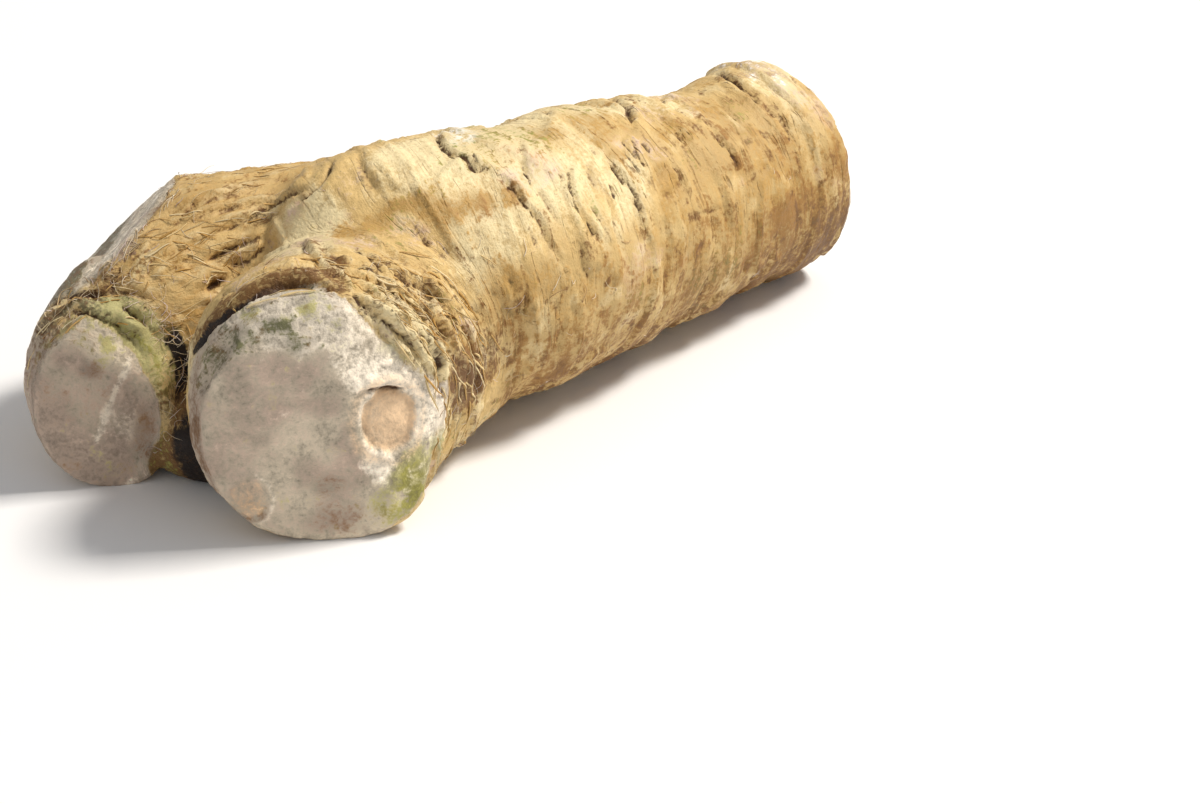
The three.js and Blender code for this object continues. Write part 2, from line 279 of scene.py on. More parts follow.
def joined_skin():
    """All limbs in one mesh, remeshed on a cubic grid into a single outer skin. The grid works in
    millimetres and the points come back as an array, with the quads' corners."""
    whole = bmesh.new()
    for name, limb in LIMBS.items():
        part = trimmed(*limb_mesh(name), limb["cuts"])
        held = bpy.data.meshes.new("limb")
        part.to_mesh(held)
        part.free()
        whole.from_mesh(held)
        bpy.data.meshes.remove(held)
    mesh = bpy.data.meshes.new("limbs")
    whole.to_mesh(mesh)
    whole.free()
    limbs = bpy.data.objects.new("limbs", mesh)
    bpy.context.scene.collection.objects.link(limbs)
    remesh = limbs.modifiers.new("grid", "REMESH")
    remesh.mode, remesh.voxel_size, remesh.adaptivity = "VOXEL", CELL, 0
    done = limbs.evaluated_get(bpy.context.evaluated_depsgraph_get()).to_mesh()
    points = np.empty(len(done.vertices) * 3)
    done.vertices.foreach_get("co", points)
    corners = np.empty(len(done.loops), int)
    done.loops.foreach_get("vertex_index", corners)
    sizes = np.empty(len(done.polygons), int)
    done.polygons.foreach_get("loop_total", sizes)
    bpy.data.objects.remove(limbs)
    bpy.data.meshes.remove(mesh)
    assert (sizes == 4).all()
    return points.reshape(-1, 3), corners.reshape(-1, 4)


def spread(values, quads, count):
    """The sum at each point of a value held by each quad."""
    return np.stack([np.bincount(quads.ravel(), np.repeat(values[:, k], 4), count)
                     for k in range(values.shape[1])], axis=1)


def neighbour_mean(values, edges, count):
    """The mean over each point's neighbours."""
    a, b = edges.T
    degree = np.bincount(a, minlength=count) + np.bincount(b, minlength=count)
    flat = values.reshape(count, -1)
    total = np.stack([np.bincount(a, flat[b, k], count) + np.bincount(b, flat[a, k], count)
                      for k in range(flat.shape[1])], axis=1)
    return (total / degree[:, None]).reshape(values.shape)


def relaxed(values, edges, rounds, pull=0.5):
    """Each round moves every point `pull` of the way to its neighbours' mean."""
    for _ in range(rounds):
        values = values + pull * (neighbour_mean(values, edges, len(values)) - values)
    return values


def normals_of(points, quads):
    """Point normals: the sum of the quads' areas crossed from their diagonals."""
    a, b, c, d = (points[quads[:, k]] for k in range(4))
    return unit(spread(np.cross(c - a, d - b), quads, len(points)))


def quad_edges(quads):
    """Every edge of the quads once."""
    pairs = np.sort(np.concatenate([quads[:, [k, (k + 1) % 4]] for k in range(4)]), axis=1)
    return np.unique(pairs, axis=0)


print("skin: joining the limbs")
skin, quads = joined_skin()
edges = quad_edges(quads)
skin = relaxed(skin, edges, SMOOTHING)
count = len(skin)
print("skin points", count, "quads", len(quads))

# ---------------------------------------------------------------- where each point lies

# For every limb: the angle round its spine (degrees), the radius as a share of the section's, and
# the grain: distance along the limb, then the offsets from its spine to the left and upwards, in
# mm, so that a pattern can be stretched along or round the limb. MEETS gives the x at which the
# limbs' distances agree, so that the grain runs on where they join.
MEETS = {"trunk": 90, "left lobe": 100, "right head": 80, "left head": 6, "web": 38}
PAST_END = 0.05  # what each millimetre beyond a limb's cap adds to the share
angles, share, own_grain = {}, {}, {}
for name, limb in LIMBS.items():
    centre, tangent, side, top, wide, high = spine(limb, np.linspace(0, 1, SPINE_STEPS))
    run = np.concatenate([[0], np.cumsum(np.linalg.norm(np.diff(centre, axis=0), axis=1))])
    k = np.empty(count, int)
    for chunk in np.array_split(np.arange(count), CHUNKS):
        k[chunk] = np.argmin(((skin[chunk, None, :] - centre[None]) ** 2).sum(-1), axis=1)
    gap = skin - centre[k]
    onward, left_of, over = ((gap * way[k]).sum(1) for way in (tangent, side, top))
    x, y = left_of / wide[k], over / high[k]
    angles[name] = np.degrees(np.arctan2(y, x)) % 360
    share[name] = np.hypot(x, y) + np.maximum(np.abs(onward) - CAP, 0) * PAST_END
    start = np.interp(MEETS[name], centre[:, 0], run)
    own_grain[name] = np.stack([run[k] + onward - start + MEETS[name], left_of + centre[k, 1],
                                over + centre[k, 2]], axis=1)
shares = np.stack([share[name] for name in LIMBS])
least, second = np.sort(shares, axis=0)[:2]


def blended(width):
    """How much of each limb a point belongs to: exp(-(its share - the least share) / width),
    scaled so that the limbs add up to 1."""
    weight = np.exp(-(shares - least) / width)
    return dict(zip(LIMBS, weight / weight.sum(0)))


part = blended(0.035)
grain = sum(own_grain[name] * weight[:, None] for name, weight in blended(0.12).items())
crevice = hump(np.maximum(second - least, 0), 0.09)

# ---------------------------------------------------------------- the marks

rise = np.zeros(count)  # outward relief, mm
mask = {name: np.zeros(count) for name in ("crack", "brown", "chalk", "fibre", "pale")}
facing = normals_of(skin, quads)
rough = cloud(skin, 3.2, 5)
rough_wide = cloud(skin, 9, 25)


def over_all(old, new):
    """A mask laid over another: 1 - (1 - old)(1 - new)."""
    return 1 - (1 - old) * (1 - np.clip(new, 0, 1))


def add(name, amount):
    """Lays more of a mark over its mask."""
    mask[name] = over_all(mask[name], amount)


def at_least(name, amount, at=slice(None)):
    """Brings a mark's mask up to an amount wherever it is lower, at all points or at some."""
    mask[name][at] = np.maximum(mask[name][at], amount)


def filled(at, values):
    """Values at some of the points and 0 at the others."""
    whole = np.zeros(count)
    whole[at] = values
    return whole


def dense(path):
    """A path's points every PATH_STEP mm."""
    path = np.asarray(path, float)
    long = np.concatenate([[0], np.cumsum(np.linalg.norm(np.diff(path, axis=0), axis=1))])
    at = np.linspace(0, long[-1], max(int(long[-1] / PATH_STEP), 1) + 1)
    return np.stack([np.interp(at, long, path[:, k]) for k in range(3)], axis=1)


def laid(path, reach):
    """A path dropped onto the skin. Returns the indices of the points within reach, their distance
    to it, their distance across it (positive to its left, seen from outside) and the share along
    it."""
    line = dense(path)
    close = np.where(((skin > line.min(0) - reach) & (skin < line.max(0) + reach)).all(1))[0]
    gap = ((skin[close, None] - line[None]) ** 2).sum(-1)
    snapped = skin[close][gap.argmin(0)]
    if len(snapped) > 4:
        for _ in range(3):
            snapped[1:-1] = (snapped[:-2] + snapped[1:-1] * 2 + snapped[2:]) / 4
    gap = np.sqrt(((skin[close, None] - snapped[None]) ** 2).sum(-1))
    k = gap.argmin(1)
    d = gap[np.arange(len(close)), k]
    hit = d < reach
    close, k, d = close[hit], k[hit], d[hit]
    run = snapped[np.minimum(k + 2, len(snapped) - 1)] - snapped[np.maximum(k - 2, 0)]
    cross = ((skin[close] - snapped[k]) * np.cross(facing[close], run + 1e-9)).sum(1)
    return close, d, d * np.sign(cross), k / max(len(snapped) - 1, 1)


# Every crack's depth and half width are scaled by these, as the cracks of dry bark are tight.
SHALLOWER, NARROWER = 0.85, 0.78
PLATE = 4.0  # how far back from a crack the raised plate beside it sinks to the skin, mm


def score(path, depth, wide, dark, lip, brown=0.5):
    """A crack or crease along a path. Its depth falls off as exp(-(d / wide)^2) and towards its two
    ends, it wanders and breaks up with the noise, and the skin to its left stands up by `lip`. Its
    darkness is a ramp that falls from 1 on the line to 0 at 2.1 half widths; the bark's grain cuts
    it sharp."""
    depth, wide = SHALLOWER * depth, NARROWER * wide
    reach = max(5.0, 4 * wide)
    at, d, sideways, run_share = laid(path, reach)
    if not len(at):
        return
    ends = step(-0.05, 0.2, run_share) * step(1.05, 0.8, run_share) if len(path) > 2 else 1.0
    d = np.abs(d + 0.45 * wide * rough[at])
    broken = np.clip(0.85 + 0.5 * rough_wide[at], 0.45, 1)
    rise[at] -= depth * hump(d, wide) * ends * broken
    plate = lip * step(0.2 * wide, 1.6 * wide, sideways) * hump(np.maximum(sideways - wide, 0), PLATE)
    rise[at] += plate * step(reach, 0.6 * reach, d) * ends * broken
    ramp = np.clip(1 - d / (2.1 * wide), 0, 1) * ends * broken
    at_least("crack", (0.35 + 0.65 * dark) * ramp * (dark > 0), at)
    at_least("brown", brown * hump(d, 2.6 * wide) * ends * broken, at)


def string_up(path, height, wide, pale):
    """A string of bark lying along a path: a rounded ridge, thinning towards its ends, with a brown
    groove on either side."""
    at, d, _, run_share = laid(path, 4.0)
    ends = step(0, 0.25, run_share) * step(1, 0.75, run_share)
    d = d + 0.2 * rough[at]
    rise[at] += height * hump(d, wide) * ends - 0.35 * height * hump(d - 2.1 * wide, wide) * ends
    at_least("pale", pale * hump(d, wide) * ends, at)
    at_least("brown", 0.6 * hump(d - 2.0 * wide, wide) * ends, at)


# The slow swell of the skin, as in the solids.
x, y, z = skin.T
swell = (0.35 * np.sin(x / 9.3 + 1.3 * np.sin(y / 14.1) + 0.4)
         + 0.35 * np.sin(y / 7.1 + z / 11.7 + 1.9 * np.sin(x / 31))
         + 0.3 * np.sin(x / 4.6 + z / 8.3 + 2.1))
cut = {k: behind(k, skin) for k in KNIFE}
# Each face with the shorter facets that slope back from it, and how far behind them a point lies.
FACES = {"right": ["right", "right facet", "right crown"], "left": ["left", "left crown"],
         "tip": ["tip"], "shoulder": ["shoulder"]}
HEADS = {"right": "right head", "left": "left head"}
depth_in = {k: np.min([cut[n] for n in planes], axis=0) for k, planes in FACES.items()}
owner_of = {"right": part["right head"], "tip": part["trunk"], "shoulder": part["left lobe"],
            "left": part["left head"] + part["left lobe"] * (cut["left"] < 3)}
flat = {k: step(1.5, 0.7, depth_in[k]) * np.clip(owner_of[k], 0, 1) for k in FACES}
# Where the bark's strings reach in over a head's rim: angles round the head, the share of its
# radius that they reach in to, how ragged they are (fine, wide) and how soft their edge is.
FRINGES = {
    "right": ([100, 119, 134, 148, 159, 171, 184], [1.1, 0.92, 0.85, 0.86, 0.88, 0.95, 1.1],
              (0.025, 0.02), 0.015),
    "left": ([60, 90, 110, 125, 150, 165, 185, 210, 240],
             [1.1, 0.92, 0.80, 0.73, 0.70, 0.74, 0.80, 0.88, 1.1], (0.03, 0.03), 0.02),
}
fringe = {}
for knife, (turns, reach, ragged, soft) in FRINGES.items():
    owner = HEADS[knife]
    past = share[owner] + ragged[0] * rough + ragged[1] * rough_wide
    fringe[knife] = step(-soft, soft, past - np.interp(angles[owner], turns, reach))
fringe["left"] *= part["left head"]
for knife in HEADS:
    flat[knife] = flat[knife] * (1 - fringe[knife])
on_face = np.clip(sum(flat.values()), 0, 1)
bark = 1 - on_face
rise += swell * bark * (1 - part["web"])

# Rings pressed into the tap root, as in the solids: x, slant, depth, half width, and the angle
# round the root that they lie about with their reach to each side.
RINGS = [[74, 0.1, 1.1, 1.7, 20, 60], [90, -0.12, 1.3, 1.8, 300, 70], [97, 0.15, 1.0, 1.6, 10, 50],
         [109, 0.08, 1.5, 1.8, 255, 60], [116, -0.1, 1.2, 1.6, 30, 55], [128, 0.1, 1.1, 1.7, 190, 40],
         [133, 0.2, 1.4, 1.8, 330, 60], [147, -0.1, 1.5, 1.8, 20, 70], [152, 0.1, 1.2, 1.7, 230, 50],
         [168, 0.05, 1.3, 1.7, 10, 80]]
turned = angles["trunk"]
for at, slant, depth, wide, middle, around in RINGS:
    d = x - at - slant * (y - 17) - 0.9 * np.sin(np.radians(turned) * 4 + at) + 0.7 * rough
    ring = near(turned, middle, around) * part["trunk"] * bark
    rise -= depth * hump(d, wide * 0.8) * ring * np.clip(0.8 + 0.7 * rough_wide, 0.1, 1)
    add("crack", 0.75 * np.clip(1 - np.abs(d) / wide, 0, 1) * ring * step(-0.2, 0.3, rough_wide))
    add("brown", 0.5 * hump(d, wide) * ring)

# Cracks with a name each: path, depth, half width, how dark, height of the plate beside it.
CRACKS = {
    "stepped crack": ([[73.8, 32.4, 66.3], [67.8, 25.3, 67.2], [66, 21.8, 67.4], [65, 18, 67.3],
                       [65.9, 15.6, 66.7], [65.7, 13.4, 66.2], [64.9, 10.6, 65.8], [66.9, 9.3, 64.3],
                       [66.9, 7.4, 63.8]], 1.6, 0.8, 1.0, 0.9),
    "its upper spur": ([[68.6, 15.2, 67.6], [66.7, 12.4, 66.4], [66, 10.4, 65.7]], 1.2, 0.7, 1.0, 0.2),
    "its lower spur": ([[66, 10.4, 65.7], [67.2, 9.6, 65.7], [68.5, 8.6, 65.7]], 1.1, 0.7, 0.9, 0.0),
    "its tail": ([[67.5, 7.5, 64.8], [68.7, 3.5, 62.8], [69.1, 1.1, 61.5], [69.4, -2.5, 59.5],
                  [70.7, -4.4, 57.1], [71.5, -8.8, 50], [71.5, -10.7, 45.9]], 0.9, 0.8, 0.5, 0.8),
    "ring h": ([[84.5, 15.9, 66.8], [80.6, 11, 66.4], [77.4, 7.5, 65.7], [75.8, 5, 64.7],
                [74.9, 2.5, 62.9]], 1.1, 0.8, 0.6, 0.6),
    "ring h low": ([[77.4, 7.5, 65.7], [75.8, 5, 64.7], [74.9, 2.5, 62.9], [73.8, 0.8, 61.8]],
                   0.7, 0.7, 0.9, 0.0),
    "ring below h": ([[75.7, 0.9, 62.1], [74.9, -3.7, 58.7], [75.7, -6.7, 55]], 0.6, 0.7, 0.4, 0.4),
    "top nick": ([[103.9, 25.3, 64.4], [101.8, 22.3, 64.7], [99.8, 19.3, 65]], 1.0, 0.8, 0.9, 0.5),
    "front ring": ([[51.1, 35.7, 67.7], [46.7, 28.8, 67.5], [45.2, 24.5, 66.3], [43.8, 20.4, 64.5]],
                   0.7, 0.9, 0.4, 0.5),
    "ring b": ([[130.5, 28, 60.5], [127.5, 22.5, 61.2], [124, 16.6, 60.6], [120.3, 12.2, 60.4],
                [116.9, 8.4, 59.9], [114.5, 7.4, 60.3]], 1.8, 0.95, 1.0, 1.0),
    "ring b tail": ([[113, 7, 60.5], [109.5, 5, 60.6], [108.7, 1.9, 58.9], [108.8, -1, 57.1]],
                    0.8, 0.7, 0.7, 0.5),
    "ring b side": ([[112.2, 5.8, 60.6], [110.5, 1.6, 59], [110, -0.8, 57.5], [109.8, -3.1, 55.8]],
                    0.7, 0.7, 0.7, 0.4),
    "ring b third": ([[107.4, 4, 60.6], [107.4, 1.4, 58.7], [107.3, -1.7, 56.5], [107.3, -4.7, 54.5]],
                     0.8, 0.7, 0.7, 0.4),
    "ring b fourth": ([[114.7, 3.8, 59.6], [114.7, 1.7, 58.6], [114.3, -1, 57.2]], 0.7, 0.7, 0.7, 0.4),
    "ring j": ([[101.2, 2.6, 60.1], [101, 0.4, 58.2], [101.1, -1.8, 56.5], [102, -4, 54.5],
                [101.9, -5.6, 52.6], [101.5, -7.6, 50.2], [100.5, -9.3, 47.7], [99.4, -10.9, 45.4]],
               1.2, 0.75, 0.8, 0.9),
    "ring after j": ([[104.6, -5.9, 53.1], [104.4, -9.3, 48.4], [103.9, -11.5, 44]], 0.6, 0.8, 0.3, 0.4),
    "ring k": ([[96.8, -2.4, 57.1], [95.8, -4.4, 55.7], [95, -6.4, 53.7]], 1.0, 0.7, 0.95, 0.5),
    "ring between": ([[94.7, 2.8, 61.6], [92.1, -1.6, 59.7], [90.9, -4.7, 57.4]], 0.7, 0.8, 0.3, 0.4),
    "ring c": ([[90.8, 4.3, 62.5], [86.6, 1.4, 60.9], [83.5, -1.9, 59.1], [82, -4.9, 56.6],
                [82.3, -7, 54.1], [83.1, -9.4, 50.7], [85, -12, 46.5]], 1.2, 0.8, 0.7, 1.0),
    "ring before c": ([[85.1, 2.2, 62.4], [82, -1.4, 60.4], [80.5, -4.8, 57.1]], 0.6, 0.8, 0.3, 0.4),
    "ring under c": ([[86.3, -6.4, 55.6], [86.2, -10.4, 51], [86, -12.5, 47]], 0.7, 0.8, 0.4, 0.4),
    "ring under j": ([[91.1, -9.1, 52.2], [90.3, -11.8, 48.9], [90.4, -13, 45.1]], 0.7, 0.8, 0.4, 0.4),
    "ring l": ([[79.3, -8.7, 50.8], [78.8, -9.9, 48.2], [77.8, -11.1, 45.3], [78.6, -12, 41.9],
                [78.6, -12.6, 39.2]], 1.3, 0.85, 0.85, 0.5),
    "tip ring": ([[169, 27, 57], [166, 20, 57.5], [163.6, 13.7, 56.7], [162.4, 10, 56.4],
                  [161.8, 6.4, 55.4], [161.9, 3.4, 54], [162.4, 1.8, 53.5]], 1.9, 0.95, 1.0, 0.9),
    "tip ring low": ([[161.9, 3.4, 54], [162.4, 1.8, 53.5], [163.1, -1.1, 51.6], [164.5, -4.1, 49.2]],
                     0.7, 0.8, 0.4, 0.3),
    "ring before the tip": ([[154.8, 13.1, 56.8], [151.8, 5.8, 55.4], [151.9, 1.7, 53.8]],
                            0.6, 0.8, 0.3, 0.5),
    "crease p": ([[138.8, -0.3, 54.1], [138.8, -2.7, 52.1], [139.8, -3.9, 51.1], [139.7, -5.7, 49.1],
                  [139.1, -7.7, 46.4]], 1.1, 0.75, 0.9, 0.9),
    "crease below p": ([[143.4, -4.9, 50.7], [143.5, -8.3, 46.8], [143.4, -10.5, 42.5]],
                       0.7, 0.9, 0.3, 0.5),
    "crease above p": ([[139.6, 5.4, 57.1], [139.4, 1.2, 55.1], [138.5, -2.3, 52.6]], 0.6, 0.8, 0.3, 0.5),
    "nick n": ([[129.1, 4.7, 57.9], [128.7, 2.6, 57.1], [128.5, 0.7, 56]], 0.9, 0.7, 1.0, 0.4),
    "nick m": ([[143.2, 22.2, 58], [140.3, 18.8, 58.5], [137.5, 15.5, 58.9]], 0.9, 0.8, 0.9, 0.5),
    "nick o": ([[139.3, 14.6, 58.9], [137.2, 10.1, 58.7], [138, 6.7, 57.8]], 0.7, 0.8, 0.5, 0.4),
    "brown eye": ([[110.1, -5.7, 53.4], [113.9, -4, 54.8], [117.9, -3.7, 54.4], [119.5, -5.3, 52.8],
                   [117.2, -7.7, 50.5], [113.1, -8.7, 49.5], [110.1, -8.1, 50.6], [109.5, -6.3, 52.7]],
                  0.6, 0.9, 0.15, 0.0),
    "bud line": ([[118.8, -12, 43.2], [122.6, -11.7, 42.6], [128.5, -11.2, 41.2], [131.7, -11.2, 41.2]],
                 0.6, 0.7, 0.5, 0.3),
    "crease v": ([[69, -5.4, 55.4], [67, -6, 53.2], [68, -7.6, 50.8]], 0.6, 1.5, 0.3, 0.0),
    "collar notch": ([[18.1, 8.2, 61.1], [20, 8.5, 60.5], [22.5, 9.8, 59.4]], 1.6, 1.1, 1.0, 0.0),
    "spot s": ([[47.5, 4, 55.6], [48, 2.9, 54.3], [48.6, 1.3, 52.3]], 0.9, 0.8, 0.9, 0.3),
    "line above s": ([[44.8, 11.3, 60], [44.7, 7.9, 57.6], [45.8, 5.2, 55.5]], 0.7, 0.8, 0.5, 0.5),
    "line below s": ([[49.4, 2.4, 55.2], [50.6, 0.4, 52.9], [52.5, -1.6, 51.3]], 0.6, 0.8, 0.5, 0.4),
    "line by s": ([[45.9, 5, 55.4], [46.3, 2.9, 53.9], [47.5, 0.6, 51.4]], 0.6, 0.7, 0.5, 0.3),
    "crack r": ([[31.4, 1.5, 54.5], [32.5, 0.1, 53.1], [32.6, -2.6, 51.7]], 1.2, 0.8, 1.0, 0.6),
    "collar c1": ([[14.5, -2.5, 58], [14.3, -5.2, 56.6], [15.1, -6.6, 55.3]], 1.3, 0.8, 1.0, 0.6),
    "collar c2": ([[16.4, -6.7, 55.1], [17.2, -8.9, 52.7], [18.7, -10.4, 50.6], [20.4, -11.6, 48.1],
                   [23.3, -11.5, 44.9]], 1.6, 0.85, 1.0, 1.0),
    "collar c3": ([[25.9, 0.1, 54.8], [24.2, -3.8, 54.5], [24.8, -7.4, 51.4]], 1.4, 0.8, 1.0, 0.8),
    "collar c4": ([[32.1, -4.3, 50.2], [32.6, -6.3, 46.9], [33, -7.7, 43.5], [32.8, -9.4, 40.1]],
                  1.7, 0.9, 1.0, 1.0),
    "collar c5": ([[28.9, -11.3, 42.6], [30.2, -12.3, 39.2], [31.4, -12.9, 35.6]], 1.4, 0.85, 1.0, 0.6),
    "collar c7": ([[24.6, -8.9, 47.7], [26, -10.5, 44.3], [27.6, -11.9, 40.1], [28.9, -12.9, 35.6],
                   [29.3, -13.2, 31.1]], 1.5, 0.85, 1.0, 0.9),
    "collar c8": ([[25.5, 12, 59.1], [27.2, 9.6, 58.6], [28.3, 6.8, 57.6], [26.7, 2.5, 56.9],
                   [25.5, 0.4, 55.1]], 1.3, 0.9, 0.8, 1.0),
    "collar c9": ([[18.1, -1.1, 58.2], [19, -3.3, 56.1], [19.9, -5.4, 54], [22.2, -7.5, 50.7],
                   [24.6, -8.9, 47.7]], 1.2, 0.8, 0.9, 0.8),
    "collar c10": ([[22.1, 5.8, 60], [23.1, 3.1, 58.1], [24.6, 1, 55.7], [22.6, -4.5, 54.9]],
                   1.1, 0.8, 0.8, 0.8),
    "collar c11": ([[11.1, -2.4, 58.6], [13, -5.4, 56.4], [15, -8.1, 53.7], [17, -10.8, 50],
                    [18.7, -13.2, 45.7]], 1.0, 0.8, 0.6, 0.8),
    "collar c12": ([[20.9, -10.4, 49.3], [23, -11.8, 44.9], [25, -12.6, 39.9], [26.6, -13.3, 34.3]],
                   1.1, 0.8, 0.8, 0.7),
    "collar c13": ([[29.3, 6, 57.3], [30.3, 2, 55.3], [30.8, -1.4, 53.2], [31.1, -4.1, 50]],
                   1.1, 0.8, 0.7, 0.8),
    "collar c14": ([[37.6, 0.7, 52.5], [37.2, -2.8, 48.8], [35.5, -7.1, 45.4], [35, -9.3, 39.7]],
                   1.2, 0.9, 0.7, 0.8),
    "collar c15": ([[27.8, -1.9, 53], [26.4, -7.2, 50.9], [27.2, -10, 46.1], [28.2, -11.9, 40.3]],
                   1.0, 0.8, 0.7, 0.6),
    "collar foot": ([[29.5, -11.9, 40.8], [29.8, -13.1, 34], [30.8, -13.4, 27.2]], 1.6, 1.2, 0.9, 0.4),
    "fork line": ([[46.1, 39.4, 66.4], [41.1, 35.2, 65.8], [37.7, 35.3, 63.9], [35.1, 36.4, 61.8],
                   [33.5, 39.1, 59]], 1.6, 1.0, 0.9, 0.8),
    "top edge one": ([[63.3, 35.5, 67.4], [65.7, 33.8, 67.7], [69.6, 32.4, 67.4]], 0.7, 0.9, 0.8, 0.0),
    "top edge two": ([[48.6, 41.5, 66], [50.5, 41.2, 66], [51.9, 41, 66.1]], 0.9, 1.0, 1.0, 0.0),
    "low pit": ([[53.7, -4.7, 44.7], [54.2, -5.1, 44.1], [54.9, -5.7, 42.8]], 1.0, 1.0, 0.9, 0.3),
    "low arc": ([[55.7, -6.5, 41.5], [57.9, -8.1, 38.1], [60.6, -9.4, 38.8], [61.3, -9.9, 36.3]],
                1.0, 0.8, 0.9, 0.5),
    "low line": ([[55.7, -6.5, 41.5], [58, -8, 40.1], [60.7, -9.3, 40.1]], 0.8, 0.8, 0.8, 0.4),
    "low ring": ([[48.7, -3.8, 43.7], [50, -5, 40.5], [53, -5.8, 38.1]], 0.9, 0.8, 0.8, 0.5),
    "low ring two": ([[38, -2, 49.2], [39.2, -3.9, 46.3], [38.5, -6.5, 44]], 0.8, 0.8, 0.7, 0.5),
    "low nick": ([[44.7, -3, 46], [47.1, -4.1, 42.9], [51.3, -5.6, 39.2]], 0.8, 0.8, 0.8, 0.3),
    "low spot": ([[44.6, -6.8, 38.6], [44.7, -7, 37.7], [48.2, -7.2, 32.1]], 0.9, 0.9, 0.9, 0.3),
    "low fold": ([[73.1, -13.3, 36.5], [73.4, -13.5, 34.7], [73.7, -13.6, 32.9]], 0.8, 1.1, 0.6, 0.3),
    "lobe fibre one": ([[17.1, 50.1, 53.4], [21.7, 48.9, 54.2], [27.4, 47.7, 54.9], [32.9, 47.7, 55.9],
                        [35.4, 42.3, 59.9], [37.6, 36.7, 63.7]], 1.3, 0.85, 0.8, 0.8),
    "lobe fibre two": ([[13.2, 47.6, 48.9], [17.7, 46.8, 50.1], [21.5, 45.6, 50.5], [25, 44.6, 51.1],
                        [29.3, 43.8, 51.9]], 1.3, 0.85, 0.8, 0.8),
    "lobe fibre three": ([[18, 44.6, 46.9], [22.4, 43, 47.3], [27.7, 42.5, 49.8]], 1.2, 0.8, 0.8, 0.6),
    "lobe fibre four": ([[11.2, 57.1, 56], [16.8, 56.5, 57.6], [23.5, 55.5, 58.7], [31.3, 53.8, 58.6]],
                        0.9, 0.9, 0.5, 0.7),
    "lobe fibre five": ([[4.3, 52.7, 50.5], [8.5, 52, 51.7], [12.4, 50.9, 52.2], [16.2, 50.4, 53.3]],
                        1.0, 0.8, 0.6, 0.7),
    "lobe fibre six": ([[0.4, 52, 46.9], [4.1, 50.6, 48.1], [8.1, 50.3, 49.9], [11.8, 49, 50]],
                       1.0, 0.8, 0.6, 0.6),
    "lobe fibre seven": ([[14.2, 54.9, 55.9], [19.1, 54.2, 57], [23.3, 52.7, 57.3], [27.7, 51.5, 57.5]],
                         0.9, 0.8, 0.6, 0.6),
    "lobe fibre eight": ([[12.1, 59.9, 57.4], [16.9, 58.8, 58.3], [21.1, 56.1, 58.5]], 0.8, 0.8, 0.5, 0.5),
    "lobe arch": ([[10.5, 44.7, 43.4], [13, 44.6, 44.5], [15.9, 43.8, 44.5]], 1.6, 1.0, 1.0, 0.8),
    "lobe hole": ([[-3.2, 51, 42.5], [-3.1, 50.7, 42.2], [-2.6, 50.2, 41.9]], 1.6, 1.3, 1.0, 0.3),
    "lobe edge": ([[-7.5, 54, 44.6], [-9.4, 58.2, 44.6], [-12, 60.8, 44.2], [-14.6, 64.5, 42.5],
                   [-16.6, 67.5, 40.1], [-18.6, 70, 37.4]], 2.0, 1.3, 1.0, 0.0),
    "strip edge": ([[-7.4, 54, 44.6], [-5.4, 58.6, 47.3], [-1.8, 58.2, 50.8], [3.3, 59.1, 54.3]],
                   1.3, 0.9, 0.9, 0.6),
    "left rim groove": ([[-18.8, 60.3, 42.6], [-15.8, 57.4, 43.2], [-12.3, 52.6, 41.5],
                         [-10.7, 50.5, 40.1], [-9.1, 47.2, 36.8], [-7.4, 44.5, 32.2]], 1.3, 0.8, 0.9, 0.9),
    "left collar edge": ([[-8.5, 54.6, 44.3], [-6.5, 51.3, 42.1], [-3.8, 48, 37.5], [-2, 46.4, 34],
                          [-0.5, 45.3, 31.2]], 1.2, 0.9, 0.9, 0.3),
}
for path, depth, wide, dark, lip in CRACKS.values():
    score(path, depth, wide, dark, lip)

# The gap behind the upper rim of the right head, where the lobe and the fork lean over it: a deep groove,
# painted dark as its shade.
GAP = [[-10.6, 23, 45], [-9, 19.6, 49.5], [-7, 16, 53.4], [-4.4, 13, 56.8], [-1.2, 10.6, 58.8],
       [3, 8.6, 60.3], [7, 5.4, 61], [10.4, 1.6, 60]]
score(GAP, 2.8, 1.5, 1.0, 0.6, 0.9)
at, _, gap_side, _ = laid(GAP, 12)
over_gap = filled(at, step(0, 1.2, gap_side))

